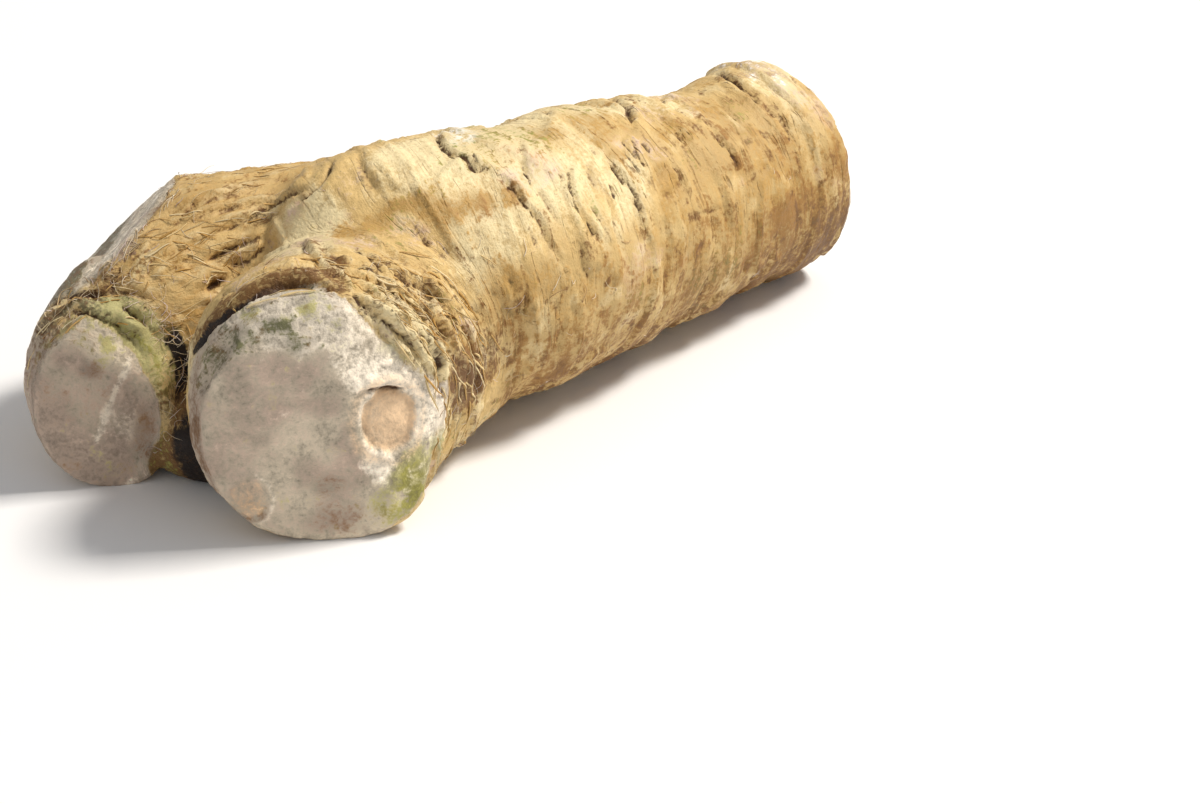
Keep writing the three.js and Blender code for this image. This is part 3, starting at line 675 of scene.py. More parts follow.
# Strings of bark raised along the lobe's near edge and over the collar: path, height, half width.
STRINGS = [
    ([[-3.3, 54.5, 45.4], [-0.8, 55.3, 49.3], [2.5, 56.5, 52.4], [6.3, 57.7, 54.7]], 0.9, 0.7),
    ([[-1.3, 53.5, 46.8], [1.8, 54.7, 50.7], [5.9, 55.9, 53.7]], 0.8, 0.7),
    ([[22.1, 48.1, 53.6], [27.1, 47.4, 54.6], [32, 46.7, 55.2], [33.9, 42.8, 58.4]], 0.8, 0.8),
    ([[14.8, 46.4, 48.2], [19.8, 45.4, 49.3], [24, 44.5, 50.5], [27.1, 43.9, 51.1]], 0.7, 0.7),
    ([[24.6, 24.3, 58.3], [19.3, 15.3, 60.3], [15.9, 8.7, 61.3], [15.1, 4.1, 60.7], [14.5, 0, 58.9]],
     1.3, 0.75),
    ([[23.8, 21.2, 59.1], [19.6, 13, 60.4], [17.2, 6.2, 60.7], [15.5, -0.1, 59], [13.9, -4.4, 57.2]],
     1.1, 0.7),
    ([[10.8, -1.2, 59], [13.7, -5.8, 55.6], [17.3, -8.7, 50.8], [21, -10.7, 45.1], [24.3, -12.7, 39.2],
      [26.4, -14.1, 33.2]], 0.8, 0.6),
    ([[14.7, -0.1, 59.1], [17.3, -5.7, 55.7], [20.5, -9.4, 51.1], [24, -11.8, 45], [26.8, -13.6, 38.5],
      [28, -14.3, 32.6]], 0.9, 0.6),
    ([[17.9, 1.1, 59.4], [21.1, -4.2, 55.7], [24.6, -8.2, 50.5], [27.7, -11, 44.3], [30.3, -12.8, 36.8],
      [30.9, -13.4, 30.5]], 0.95, 0.65),
    ([[23.1, 1.2, 56.5], [24.8, -4.8, 53.2], [27.3, -9.3, 47.8], [30.2, -11.8, 40.5], [32.2, -12.8, 32.3]],
     0.9, 0.65),
    ([[27.4, -0.6, 54.5], [30.8, -4.7, 48.8], [33.4, -8.2, 42.2], [35, -10.4, 34.7], [35.6, -10.7, 28]],
     1.0, 0.8),
    ([[12.8, -3.7, 57.4], [15, -7.5, 53.5], [18.7, -9.6, 47.8], [22, -11.5, 42.2]], 0.8, 0.65),
]
for path, height, wide in STRINGS:
    string_up(path, height, wide, 0.9)

# ---------------------------------------------------------------- marks by rule

# Collar folds behind the heads, as in the solids: distance behind the face, depth (a ridge where
# negative), half width, and the angle that they lie about with their reach to each side.
FOLDS = {
    "right": [[4.5, -0.7, 2, 60, 80], [8.6, 1.6, 1.9, 150, 75], [11.6, -0.9, 1.9, 150, 70],
              [14.8, 1.8, 1.9, 160, 70], [18.2, -0.9, 2, 150, 60], [21.8, 1.5, 2, 165, 60],
              [27, 1, 2.2, 170, 50]],
    "left": [[3.6, 1.2, 1.7, 100, 80], [6.6, -1.1, 1.8, 110, 80], [10.2, 1.8, 1.9, 110, 80]],
}
for knife, folds in FOLDS.items():
    owner = HEADS[knife]
    for at, depth, wide, middle, around in folds:
        waves = 0.9 * np.sin(3 * np.radians(angles[owner]) + cut[knife])
        d = cut[knife] - at + waves + 1.1 * rough_wide + 0.5 * rough
        here = (0.25 + 0.75 * near(angles[owner], middle, around)) * part[owner] * bark
        here *= np.clip(0.85 + 0.8 * rough_wide, 0.2, 1) * np.clip((depth_in[knife] - 1) / 4, 0, 1)
        if depth > 0:
            rise -= depth * hump(d, 0.55 * wide) * here
            add("crack", 0.5 * np.clip(1 - np.abs(d) / (0.4 * wide), 0, 1) * here)
            add("brown", 0.45 * hump(d, 0.8 * wide) * here)
        else:
            rise -= depth * hump(d, 0.8 * wide) * here
            add("chalk", 0.2 * hump(d, 0.8 * wide) * here)


def leaf_bases(knife, start, end, pitch, height, middle, around, seed, dark):
    """The relief of old leaf bases lying over one another like roof tiles. Distance behind the
    knife plane over the pitch, shaken by noise, leaves a remainder that runs from one free edge to
    the next: the height climbs fast over the first fifth, then falls as 1 - remainder, and the gap
    in front of each edge is marked dark."""
    owner = HEADS[knife]
    d = depth_in[knife] + 1.6 * cloud(skin, 12, seed, 2) + 0.5 * rough
    rest = ((d - start) / pitch) % 1
    here = near(angles[owner], middle, around) * part[owner] * bark
    here = here * step(start - 1, start + 1, d) * step(end, end - 3, d)
    here = here * np.clip(0.55 + 1.3 * cloud(skin, 6, seed + 7, 2), 0, 1)
    gap = np.minimum(rest, 1 - rest)
    add("crack", dark * np.clip(1 - gap / 0.2, 0, 1) * here)
    add("brown", 0.6 * dark * hump(gap, 0.24) * here)
    return height * (step(0, 0.22, rest) * (1 - rest) - 0.35) * here


rise += leaf_bases("right", 4, 30, 2.6, 0.8, 150, 75, 61, 0.4)
rise += leaf_bases("right", 5, 26, 3.3, 0.7, 330, 90, 67, 0.5)
rise += leaf_bases("left", 3, 15, 2.7, 0.6, 110, 90, 71, 0.4)

# Wrinkles that run round the limb, gathered in patches, with smooth skin between them: middle,
# reach (mm) and strength. The root's back, past a plane through its middle, has its own.
PATCHES = [([112, 6, 58], 24, 1.0), ([132, 2, 52], 26, 0.8), ([165, -4, 46], 18, 0.7),
           ([100, -6, 54], 14, 0.7), ([140, 12, 57], 14, 0.6), ([58, -8, 40], 16, 0.9),
           ([150, -2, 52], 10, 0.3)]
SMOOTH = [([80, 4, 63], 11, 1.0), ([56, 22, 67], 15, 0.9), ([88, 24, 66], 10, 0.5),
          ([64, -3, 56], 9, 0.7), ([42, 28, 66], 8, 0.8), ([150, 4, 55], 9, 0.6)]
MIDDLE, BACKWARD = [90, 40, 40], [0.25, 0.93, -0.25]
hidden = step(-6, 14, (skin - MIDDLE) @ unit(BACKWARD))
wrinkled = hidden * step(0.0, 0.4, cloud(skin, 30, 81, 2))
for at, size, strength in PATCHES:
    wrinkled = np.maximum(wrinkled, strength * hump(np.linalg.norm(skin - at, axis=1), size))
for at, size, strength in SMOOTH:
    wrinkled = wrinkled * (1 - strength * hump(np.linalg.norm(skin - at, axis=1), size))
lobe = np.clip(part["left lobe"] + 0.8 * part["web"] + 0.5 * part["left head"], 0, 1) * bark
trunk = np.clip(part["trunk"] + part["right head"], 0, 1) * bark

# Bands and plates that run round the limb.
across_a = cloud(grain, (2.1, 13, 13), 41)
across_b = cloud(grain, (4.6, 20, 20), 43)
fine = cloud(skin, 2.3, 45, 2)
dash = step(0.22, 0.55, across_a + 0.12 * rough) * trunk
rise += trunk * (0.4 * across_b + 0.2 * fine + 0.28 * across_a)
plates = cloud(grain, (6.5, 30, 30), 49, 2)
rise += trunk * (0.55 * plates + 0.9 * step(0.0, 0.07, plates) * hump(np.maximum(plates, 0), 0.28) - 0.35)
rise -= dash * (0.2 + 0.6 * wrinkled)
rise += trunk * (0.3 + 0.7 * wrinkled) * 0.6 * cloud(grain, (3.0, 10, 10), 47)
add("crack", 0.3 * dash * wrinkled * step(0.3, 0.7, across_a))
add("brown", dash * (0.15 + 0.3 * wrinkled))

# Fibres that run along the lobe, where the skin has scuffed off in strings.
along_a = cloud(grain, (15, 1.9, 1.9), 51)
along_b = cloud(grain, (9, 3.1, 3.1), 53)
rise += lobe * (0.55 * along_a + 0.35 * along_b + 0.3 * rough)
string_gap = step(0.25, 0.6, -along_a + 0.1 * rough) * lobe
add("crack", 0.25 * string_gap * step(0.1, 0.5, rough_wide))
add("brown", 0.3 * string_gap)


def string_or_crack(draw, path, chance, string, crack, lip):
    """One mark along a path, each of its sizes drawn from a range: a string of bark by this chance
    (height, half width, paleness), otherwise a crack (depth, half width, darkness)."""
    if draw.random() < chance:
        string_up(path, *(draw.uniform(*sizes) for sizes in string))
    else:
        score(path, *(draw.uniform(*sizes) for sizes in crack), lip)


draw = np.random.default_rng(933)
for i in draw.permutation(np.where((lobe > 0.8) & (z > 6))[0])[:130]:
    way = unit(np.array([0.93, -0.3, 0.12]) + draw.normal(0, 0.16, 3))
    half = draw.uniform(2.5, 8)
    bend = draw.normal(0, 0.6, 3)
    path = [skin[i] - way * half, skin[i] - way * 0.4 * half + bend, skin[i] + way * 0.4 * half,
            skin[i] + way * half]
    string_or_crack(draw, path, 0.62, ((0.5, 1.0), (0.55, 0.8), (0.4, 0.9)),
                    ((0.4, 0.9), (0.6, 0.8), (0.05, 0.45)), 0.4)
mask["fibre"] = np.clip(lobe + 0.6 * hump(cut["right"] - 15, 12) * part["right head"] * bark, 0, 1)

# Thin strings that run round each head behind its face, with dark lines torn open between them.
draw = np.random.default_rng(512)
for knife, middle, around, number in (("right", 142, 60, 70), ("left", 112, 55, 34)):
    owner = HEADS[knife]
    zone = part[owner] * bark * near(angles[owner], middle, around) * hump(depth_in[knife] - 8, 8)
    for i in draw.permutation(np.where(zone > 0.3)[0])[:number]:
        way = unit(unit(np.cross(facing[i], outward(knife))) + draw.normal(0, 0.1, 3))
        half = draw.uniform(2.5, 6)
        bend = 0.35 * facing[i] + draw.normal(0, 0.3, 3)
        path = [skin[i] - way * half - bend, skin[i] - way * 0.4 * half, skin[i] + way * 0.4 * half,
                skin[i] + way * half - bend]
        string_or_crack(draw, path, 0.4, ((0.4, 0.8), (0.5, 0.7), (0.5, 0.9)),
                        ((0.6, 1.2), (0.6, 0.85), (0.3, 0.9)), 0.5)

# Short ring scars and pits scattered by a seeded draw, most of them where the skin is hidden.
draw = np.random.default_rng(417)
for i in draw.permutation(np.where((trunk > 0.9) & (z > 4))[0])[:150]:
    if hidden[i] < 0.4 and draw.random() < 0.72:
        continue
    half = draw.uniform(1.2, 5.5)
    round_way = unit(np.cross(facing[i], [1, draw.normal(0, 0.12), draw.normal(0, 0.1)]))
    path = [skin[i] - round_way * half, skin[i] + [draw.normal(0, 0.5), 0, 0], skin[i] + round_way * half]
    score(path, draw.uniform(0.4, 1.1), draw.uniform(0.6, 0.95), draw.uniform(0.15, 0.6),
          draw.uniform(0, 0.5))
for i in draw.permutation(np.where((bark > 0.9) & (z > 4))[0])[:190]:
    d = np.linalg.norm(skin - skin[i], axis=1)
    size = draw.uniform(0.6, 1.5)
    rise -= draw.uniform(0.15, 0.5) * hump(d, size)
    at_least("crack", draw.uniform(0.1, 0.5) * hump(d, 0.75 * size))
    at_least("brown", draw.uniform(0.1, 0.5) * hump(d, 1.8 * size))

# Side roots trimmed off close, mostly on the back: a low mound with a sunk pale end. Place, radius.
SCARS = [([92, 47, 50], 3.4), ([136, 43, 38], 3.0), ([60, 60, 28], 3.2), ([112, 40, 8], 2.8),
         ([160, 38, 48], 2.2), ([72, -4, 12], 3.0), ([146, -10, 16], 2.4), ([24, 86, 24], 2.6)]
for at, size in SCARS:
    i = ((skin - at) ** 2).sum(1).argmin()
    d = np.linalg.norm((skin - skin[i]) * [1.5, 1, 1], axis=1) * (1 + 0.2 * rough + 0.3 * rough_wide)
    rise += 0.8 * hump(d, 1.5 * size) - 1.1 * step(size, 0.7 * size, d)
    add("crack", 0.6 * np.clip(1 - np.abs(d - size) / 0.9, 0, 1) * step(-0.3, 0.2, rough))
    add("brown", 0.5 * hump(d, 1.9 * size))
    at_least("chalk", 0.4 * step(0.8 * size, 0.6 * size, d))

# ---------------------------------------------------------------- the knife's faces

# Faces: dried, a little rough, with the knife's faint long steps 1.6 mm apart.
for number, knife in enumerate(FACES):
    normal = outward(knife)
    run = unit(np.cross(normal, [0.2, 0.3, 1.0]))
    lines = cloud(np.stack([skin @ run / 9, skin @ np.cross(run, normal) / 1.6, skin @ normal / 9], 1),
                  1.0, 91 + number, 2)
    rise += flat[knife] * (0.16 * lines + 0.14 * rough + 0.1 * fine)

# How far in from the rim each head's face is worn, as a share of its radius, at the angles TURNS
# round the head, then how deep the rim is worn away (mm), and about which angle with what reach.
TURNS = [0, 45, 70, 90, 110, 135, 160, 180, 200, 215, 235, 250, 270, 300, 330, 360]
WORN = {
    "right": ([.04, .10, .20, .30, .34, .36, .40, .42, .42, .40, .28, .16, .09, .06, .05, .04],
              1.2, 135, 68),
    "left": ([.06, .12, .16, .18, .18, .18, .12, .08, .08, .08, .07, .06, .05, .05, .05, .06],
             0.8, 110, 62),
}
# Where a facet lies outside its face's own plane: positive beyond their common edge.
beyond = {"right": cut["right"] - np.minimum(cut["right facet"], cut["right crown"]),
          "left": cut["left"] - cut["left crown"]}
worn, sunk = {}, np.zeros((count, 3))
for knife, (reach, depth, middle, around) in WORN.items():
    turned, q = angles[HEADS[knife]], share[HEADS[knife]]
    edge = 1 - np.interp(turned, TURNS, reach) + 0.10 * rough_wide + 0.05 * rough
    outside = np.maximum(step(-0.03, 0.05, q - edge),
                         step(-1.8, 1.2, beyond[knife] + 1.4 * rough_wide + 0.8 * rough))
    worn[knife] = outside * step(4, 2.5, depth_in[knife]) * owner_of[knife] * (1 - fringe[knife])
    slope = np.clip((q - edge) / np.maximum(1 - edge, 0.05), 0, 1) ** 1.4 * near(turned, middle, around)
    sunk -= np.outer(depth * slope * step(15, 0, cut[knife]) * np.clip(owner_of[knife], 0, 1),
                     outward(knife))

# The bud scar on the facet: a ragged oval, sunk, with a groove and a raised rim round it, a low
# middle mound, and a shelf above it. bud_d is the distance from its middle, 6.5 at its edge.
BUD_AT, BUD_HALF_WIDTH, BUD_HALF_HEIGHT = [15.8, -11.3, 28.8], 6.9, 7.9
bud_normal = outward("right facet")
bud_up = unit([0, 0, 1] - bud_normal * bud_normal[2])
gap = skin - BUD_AT
bud_d = 6.5 * np.hypot(gap @ np.cross(bud_up, bud_normal) / BUD_HALF_WIDTH, gap @ bud_up / BUD_HALF_HEIGHT)
bud_d = bud_d + 0.9 * rough + 1.1 * rough_wide + 20 * step(3, 6, np.abs(gap @ bud_normal))
scar = step(6.9, 5.9, bud_d)
rise += 0.5 * hump(bud_d - 7.6, 1.0) - 0.5 * scar - 0.55 * hump(bud_d - 5.6, 0.8) + 0.35 * hump(bud_d, 2.2)
rise -= 0.25 * hump(bud_d - 3.6, 0.7)
score([[9.8, -8.2, 36.5], [12.5, -9, 36.9], [16.9, -10.7, 36.2], [21.3, -12.4, 34.4]],
      2.0, 1.0, 1.0, 1.2, 1.0)
score([[10.3, -9.1, 33], [10, -9.2, 29], [10.8, -9.9, 25.4]], 0.5, 0.8, 0.1, 0.2, 0.3)
# An older bud scar low on the right face, all but flat. old_d is 1 at its edge.
OLD_AT, OLD_HALF_WIDTH, OLD_HALF_HEIGHT = [-10.7, 7.4, 12], 4.3, 5.1
old_gap = skin - OLD_AT
old_side = old_gap @ unit(np.cross(outward("right"), [0, 0, 1])) / OLD_HALF_WIDTH
old_up = old_gap[:, 2] / OLD_HALF_HEIGHT
old_d = np.hypot(old_side, old_up) + 0.12 * rough + 0.25 * rough_wide
old_scar = flat["right"] * step(1.1, 0.85, old_d) * step(6, 3, np.abs(old_gap @ outward("right")))
rise += (flat["right"] * (0.35 * hump(old_d - 1.2, 0.16) - 0.3 * hump(old_d - 1.0, 0.14))
         - 0.15 * old_scar)
# The shallow crack across the left face, and the roughness of the worn zones.
FACE_CRACK = [[-10.8, 47.1, 32.3], [-13.5, 49, 26.6], [-16.3, 50.8, 20.4], [-18.9, 52.5, 12.8]]
score(FACE_CRACK, 0.35, 1.2, 0.0, 0.0, 0.0)
rise += (worn["right"] + worn["left"]) * (0.3 * cloud(grain, (9, 2.0, 2.0), 95) + 0.3 * rough)

# ---------------------------------------------------------------- the skin's final place

# The relief fades where the root lies on the floor and, by half, in the crevices. The skin is then
# eased a little towards its neighbours' mean and kept inside the solid's box, above the floor.
EASED = 0.12
rise *= step(0.2, 2.5, z)
rise *= 1 - 0.55 * crevice * bark
shaped = skin + facing * rise[:, None] + sunk
shaped = relaxed(shaped, edges, 1, EASED)
low, high = (np.array(cad_box[k]) / MM - SHIFT for k in (0, 1))
shaped = np.clip(shaped, low, high)
shaped[:, 2] = np.maximum(shaped[:, 2], 0)
facing = normals_of(shaped, quads)

# Hollows and ridges at two sizes: how far the skin lies below its own smoothed form.
small = relaxed(shaped, edges, 3)
broad = relaxed(small, edges, 22)
hollow_small = ((small - shaped) * facing).sum(1)
hollow_broad = ((broad - shaped) * facing).sum(1)
print("marks done")

# ---------------------------------------------------------------- the colours

# Every colour but the first is washed over the ones before it by a mask, 0 to 1, worked out here in
# millimetres; the bark's own grain then tears the edges of each wash. The order is the order of
# the washes: name, sRGB value, how far the grain moves the edge, where it starts and is full.
STRAW = 0xDCBB7C
WRINKLE = 0x80592C  # the thin dark wrinkles, drawn over all the washes
WASHES = [
    ("cream", 0xEFDCAC, 1.1, 0.1, 1.0), ("tan", 0xC2A066, 1.2, 0.1, 1.0),
    ("lilac", 0xDCC2AC, 1.0, 0.3, 0.9), ("ochre", 0xBC9656, 1.2, 0.2, 0.8),
    ("rust", 0x9C733C, 1.3, 0.25, 0.85), ("brown", 0x7A572E, 1.2, 0.3, 0.95),
    ("chalk", 0xFFF9EC, 1.1, 0.3, 0.8), ("flesh", 0xD6C7AE, 0.5, 0.3, 0.7),
    ("mauve", 0xB5A08E, 0.9, 0.2, 0.9), ("pale", 0xE6D9C4, 0.9, 0.3, 0.8),
    ("green", 0xB5AD76, 1.1, 0.3, 0.8), ("olive", 0x98924C, 1.2, 0.3, 0.8),
    ("moss", 0x6E6C4C, 1.3, 0.3, 0.9), ("white", 0xFDF0DA, 0.9, 0.15, 1.0),
    ("stain", 0x77583A, 1.2, 0.2, 1.0), ("salmon", 0xEAC9A2, 0.7, 0.1, 0.95),
    # The near-black wash below is painted shade for the fork and the gap, and the crack wash also darkens
    # sharp hollows as painted shade.
    ("soot", 0x20150F, 0.5, 0.3, 0.8), ("crack", 0x4A2F18, 0.5, 0.4, 0.85),
]
wash = {name: np.zeros(count) for name, *_ in WASHES}


def lay(name, amount):
    """Lays more of a wash over its mask."""
    wash[name] = over_all(wash[name], amount)


def blots(none, full, size, seed, octaves=3):
    """Blots of a size in mm: where the noise runs from `none`, bare, up to `full`."""
    return step(none, full, cloud(skin, size, seed, octaves))


def spots(name, places):
    """Lays a wash over places given as point, size (one number or three) and strength: full where
    the distance over the size, bent by the noise, is under 0.4, and gone past 1.5."""
    for at, size, strength in places:
        d = np.linalg.norm((skin - np.array(at, float)) / np.asarray(size, float), axis=1)
        lay(name, strength * step(1.5, 0.4, d + 0.45 * rough_wide + 0.15 * rough))


middle_noise = cloud(grain, (7, 12, 12), 103)
streak = cloud(grain, (2.4, 12, 12), 105)
string = cloud(grain, (14, 1.7, 1.7), 107)
blotch = cloud(skin, 5, 109)

# The trunk and the right head's collar: straw bark with cream and tan clouds and fine rings.
large = cloud(grain, (30, 22, 22), 101)
lay("cream", 0.8 * step(-0.1, 0.5, large) * (1 - 0.7 * lobe))
lay("tan", 0.75 * step(-0.05, 0.5, 0.3 * middle_noise - large))
lay("cream", 0.5 * step(0.1, 0.5, streak) * (1 - 0.6 * lobe))
lay("tan", 0.6 * step(0.1, 0.5, -streak) * (0.5 + 0.5 * wrinkled))
lay("lilac", 0.5 * step(0.1, 0.5, cloud(grain, (16, 12, 12), 111)) * trunk)
mottle = cloud(grain, (3.5, 11, 11), 133)
lay("rust", 0.5 * step(0.05, 0.5, mottle) * (0.35 + 0.65 * wrinkled) * trunk)
lay("brown", 0.6 * step(0.2, 0.55, mottle) * (0.3 + 0.7 * wrinkled) * trunk)
patchy = cloud(grain, (8, 11, 11), 141)
lay("ochre", 0.7 * step(0.08, 0.45, patchy) * (0.45 + 0.55 * wrinkled) * trunk)
lay("stain", 0.35 * step(0.3, 0.6, patchy + 0.5 * mottle) * (0.2 + 0.8 * wrinkled) * trunk)
spots("ochre", [([114, -6, 52], 6, 0.8), ([128, 4, 57], [7, 7, 6], 0.6),
                ([106, 12, 62], [7, 8, 6], 0.6), ([92, 16, 64], [5, 9, 5], 0.5),
                ([146, 10, 56], [8, 8, 6], 0.6)])
spots("brown", [([119, -12, 43.4], 2, 0.7), ([153, -6.6, 46.7], [2.5, 2.5, 3], 0.7),
                ([99, -12, 42], [2, 2.5, 5], 0.5), ([81, -11, 46], [1.8, 2.5, 6], 0.4)])
lay("olive", 0.3 * step(0.0, 0.5, cloud(grain, 14, 135)) * trunk)
# Low on the trunk and towards its tip: pale and rusty dapples with brown flecks.
dapple = cloud(skin + 5 * np.stack([rough_wide, blotch, middle_noise], 1), (7, 6, 8), 143)
dappled = trunk * np.clip(step(105, 130, x) + step(52, 40, z), 0, 1)
pale_dapple = dappled * step(0.08, 0.35, dapple)
lay("rust", 0.55 * step(0.12, 0.45, -dapple) * dappled)
lay("brown", 0.6 * blots(0.3, 0.5, 3, 145, 2) * dappled)
# The left lobe: scuffed ochre strings over tan.
lay("tan", 0.5 * lobe)
lay("ochre", 0.55 * lobe * step(-0.3, 0.4, middle_noise))
lay("rust", 0.4 * lobe * step(0.1, 0.5, -string))
lay("cream", 0.75 * lobe * step(0.0, 0.45, string))

spots("lilac", [([71.5, 2.1, 63.2], 7, 0.55), ([81.6, 3.7, 64.4], 7, 0.55), ([107.3, 3.2, 60], 7, 0.5),
                ([127.8, 11.9, 60.3], 8, 0.5), ([43.1, 29.4, 66.7], 5, 0.4)])
spots("cream", [([80, 4, 63], 10, 0.75), ([60, 24, 67], 12, 0.6), ([100, -4, 55], 8, 0.7),
                ([56, -2, 56], 10, 0.6), ([106, -2, 57], 6, 0.7), ([150, 3, 54], 7, 0.5)])
spots("olive", [([88, 12, 66], 7, 0.35), ([110, 22, 62], 8, 0.35), ([82, 26, 67], 12, 0.35)])
spots("cream", [([27, 25, 58], 10, 1), ([31, 35, 58], 8, 1), ([20, 19, 60], 7, 0.8)])
spots("tan", [([120, -4, 52], 12, 0.5), ([60, -8, 40], 12, 0.6), ([150, 8, 55], 12, 0.45)])

# The rusty groove from the fork up over the tap root.
at, d, _, _ = laid([[30.3, 22.5, 57.9], [32, 19.3, 58.3], [35, 19.3, 58], [37.6, 17.7, 58.1],
                    [40.1, 16.6, 58.9], [43.9, 15.9, 60.8], [46.3, 14.3, 62.3], [48.7, 11.9, 62.5],
                    [51.6, 7.3, 61], [54.3, 5.9, 61], [58.1, 5.1, 61.5], [61.7, 3.8, 61.4],
                    [65, 2.9, 61.3], [68.2, 0.9, 60.8]], 8)
rusty = filled(at, hump(d, 3.6 + 1.2 * rough_wide[at]))
lay("ochre", 0.8 * rusty * step(-0.7, 0.0, blotch))
lay("rust", 0.45 * rusty * step(0.0, 0.5, blotch))

# Painted shade and highlight: hollows are darkened with brown and rust, and ridges are made paler with
# cream.
lay("brown", 0.5 * step(0.15, 0.9, hollow_broad) * bark)
lay("rust", 0.4 * step(0.08, 0.4, hollow_small) * bark)
lay("cream", 0.5 * step(0.08, 0.4, -hollow_small) * bark)
calm = hump(np.linalg.norm(skin - [49, -5, 43], axis=1), 11)
for name in ("crack", "brown"):
    mask[name] *= 1 - 0.65 * calm
lay("brown", mask["brown"])

# Pale worn skin.
lay("chalk", 0.8 * mask["chalk"])
lay("cream", mask["pale"])
spots("cream", [([173.1, 12, 58.6], [9, 10, 7], 0.7), ([174, 3, 56.5], [7, 7, 6], 0.5)])
spots("chalk", [([173.1, 12, 58.6], [9, 10, 7], 0.3), ([180, 22, 56], [9, 12, 8], 0.35),
                ([74.7, 28.8, 67.3], 4.5, 0.6), ([71.6, 21.4, 68.7], 4, 0.5),
                ([76.7, 23.9, 68.2], 4.5, 0.4)])
spots("lilac", [([32, 38.0, 58.6], [5, 4, 4], 0.45)])

# The shoulder: a lilac-white strip along the shaved edge and a dark grey-green back of it, by the
# distance up the slice from a line that runs along it.
SLICE_AT, SLICE_ALONG = [-7, 70.8, 45], [27.7, 15.4, 0.8]
sliced = flat["shoulder"]
lay("flesh", sliced)
lay("pale", 0.6 * sliced * step(0.0, 0.5, string + rough))
lay("mauve", 0.7 * sliced * step(-0.1, 0.5, -string))
edge_way = unit(np.cross(outward("shoulder"), unit(SLICE_ALONG)))
from_edge = (skin - SLICE_AT) @ edge_way * np.sign(edge_way[2])
edge_band = sliced * step(-14, -6, from_edge) * step(6, 1.5, from_edge + 2 * rough_wide + rough)
lay("moss", 0.8 * edge_band)
lay("stain", 0.45 * edge_band)
lay("moss", 0.5 * sliced * step(-4, -10, from_edge) * step(-0.2, 0.5, blotch))
lay("white", 0.6 * sliced * step(0.1, 0.5, string + 0.4 * blotch) * step(2, 5, from_edge))
lay("stain", 0.5 * sliced * blots(0.15, 0.5, 2.4, 137, 2) * step(12, 7, from_edge))
spots("stain", [([12, 63, 58], [6, 2.5, 3], 0.5), ([0, 59.5, 53], [5, 2.5, 3], 0.6),
                ([-5, 60, 48], [5, 3, 3], 0.6)])
spots("chalk", [([15.5, 68, 56], [8, 3.5, 4], 0.5), ([8, 65, 54], [8, 3.5, 4], 0.55),
                ([0.6, 61.5, 52.3], [7, 3.5, 4], 0.55)])

# The heads: grey flesh with mauve clouds inside, and round it the worn zone: greenish white at the
# top, white about the bud scar, olive and brown lower down.
grainy = cloud(skin, 1.8, 113, 2)
right, left = flat["right"], flat["left"]
inner_right = right * (1 - worn["right"])
inner_left = left * (1 - worn["left"])
lay("flesh", right + left + flat["tip"])
lay("mauve", inner_right * (0.3 + 0.4 * blots(-0.3, 0.5, 9, 115)))
lay("tan", 0.3 * inner_right * blots(-0.1, 0.5, 6, 129))
lay("pale", 0.2 * inner_right * blots(0.0, 0.5, 3.5, 117))
lay("green", 0.3 * (inner_right + inner_left) * blots(0.1, 0.5, 4, 131))
lay("mauve", inner_left * (0.6 + 0.4 * blots(-0.3, 0.4, 9, 119)))
lay("stain", 0.25 * inner_left * blots(-0.5, 0.4, 7, 143))
# The old bud scar: faintly salmon, with a white arc at its outer side and a stain at its foot.
lay("salmon", 0.42 * old_scar)
lay("stain", 0.32 * old_scar * step(-0.5, 0.4, blotch))
lay("white", 0.5 * right * hump(old_d - 1.32, 0.13) * step(0.1, -0.5, old_side))
lay("stain", 0.5 * right * hump(old_d - 1.15, 0.2) * step(0.3, 0.9, -old_up))
spots("stain", [([3, -4.2, 14.3], [5.5, 4.5, 2.8], 0.5)])
# The right head's rim: the worn zone, and the bark just behind the face.
turned = angles["right head"]
top, side = near(turned, 85, 60), near(turned, 180, 30)
outer_right = np.clip(worn["right"] + step(5, 3.3, depth_in["right"] - 4 * near(turned, 5, 50))
                      * (1 - right) * part["right head"], 0, 1) * (1 - fringe["right"]) * (1 - over_gap)
on_facet = step(-0.6, 0.6, cut["right crown"] - cut["right facet"]) * step(30, 14, np.abs(z - 30))
on_facet = outer_right * np.maximum(side, on_facet * near(turned, 190, 60))
lay("flesh", 0.9 * outer_right * near(turned, 30, 75))
lay("mauve", 0.4 * outer_right * near(turned, 0, 60) * step(-0.4, 0.4, blotch))
lay("pale", 0.8 * outer_right * np.clip(top + side, 0, 1))
lay("chalk", 0.35 * outer_right * near(turned, 120, 40) * step(-0.4, 0.5, string + 0.6 * grainy))
lay("white", 0.8 * on_facet * step(17, 25, z + 3 * rough_wide) * (0.8 + 0.5 * rough_wide))
rim_near = part["right head"] * step(13, 8, depth_in["right"]) * near(turned, 10, 60) \
    * (1 - inner_right) * (1 - over_gap)
lay("flesh", 0.9 * rim_near)
lay("mauve", 0.6 * rim_near)
lay("stain", 0.5 * rim_near * step(-0.5, 0.3, blotch))
lay("stain", 0.3 * outer_right * near(turned, 95, 35) * blots(0.0, 0.5, 3.4, 139))
outer_top = outer_right * (1 - side)
lay("green", 0.65 * outer_top * near(turned, 75, 60) * blots(-0.4, 0.5, 4, 121))
lay("moss", 0.6 * outer_top * near(turned, 85, 45) * blots(0.05, 0.55, 3.6, 127))
lay("mauve", 0.5 * outer_top * step(0.0, 0.5, -string))
lay("tan", 0.6 * outer_right * near(turned, 262, 34))
lay("rust", 0.5 * outer_right * near(turned, 255, 20) * step(-0.4, 0.4, blotch))
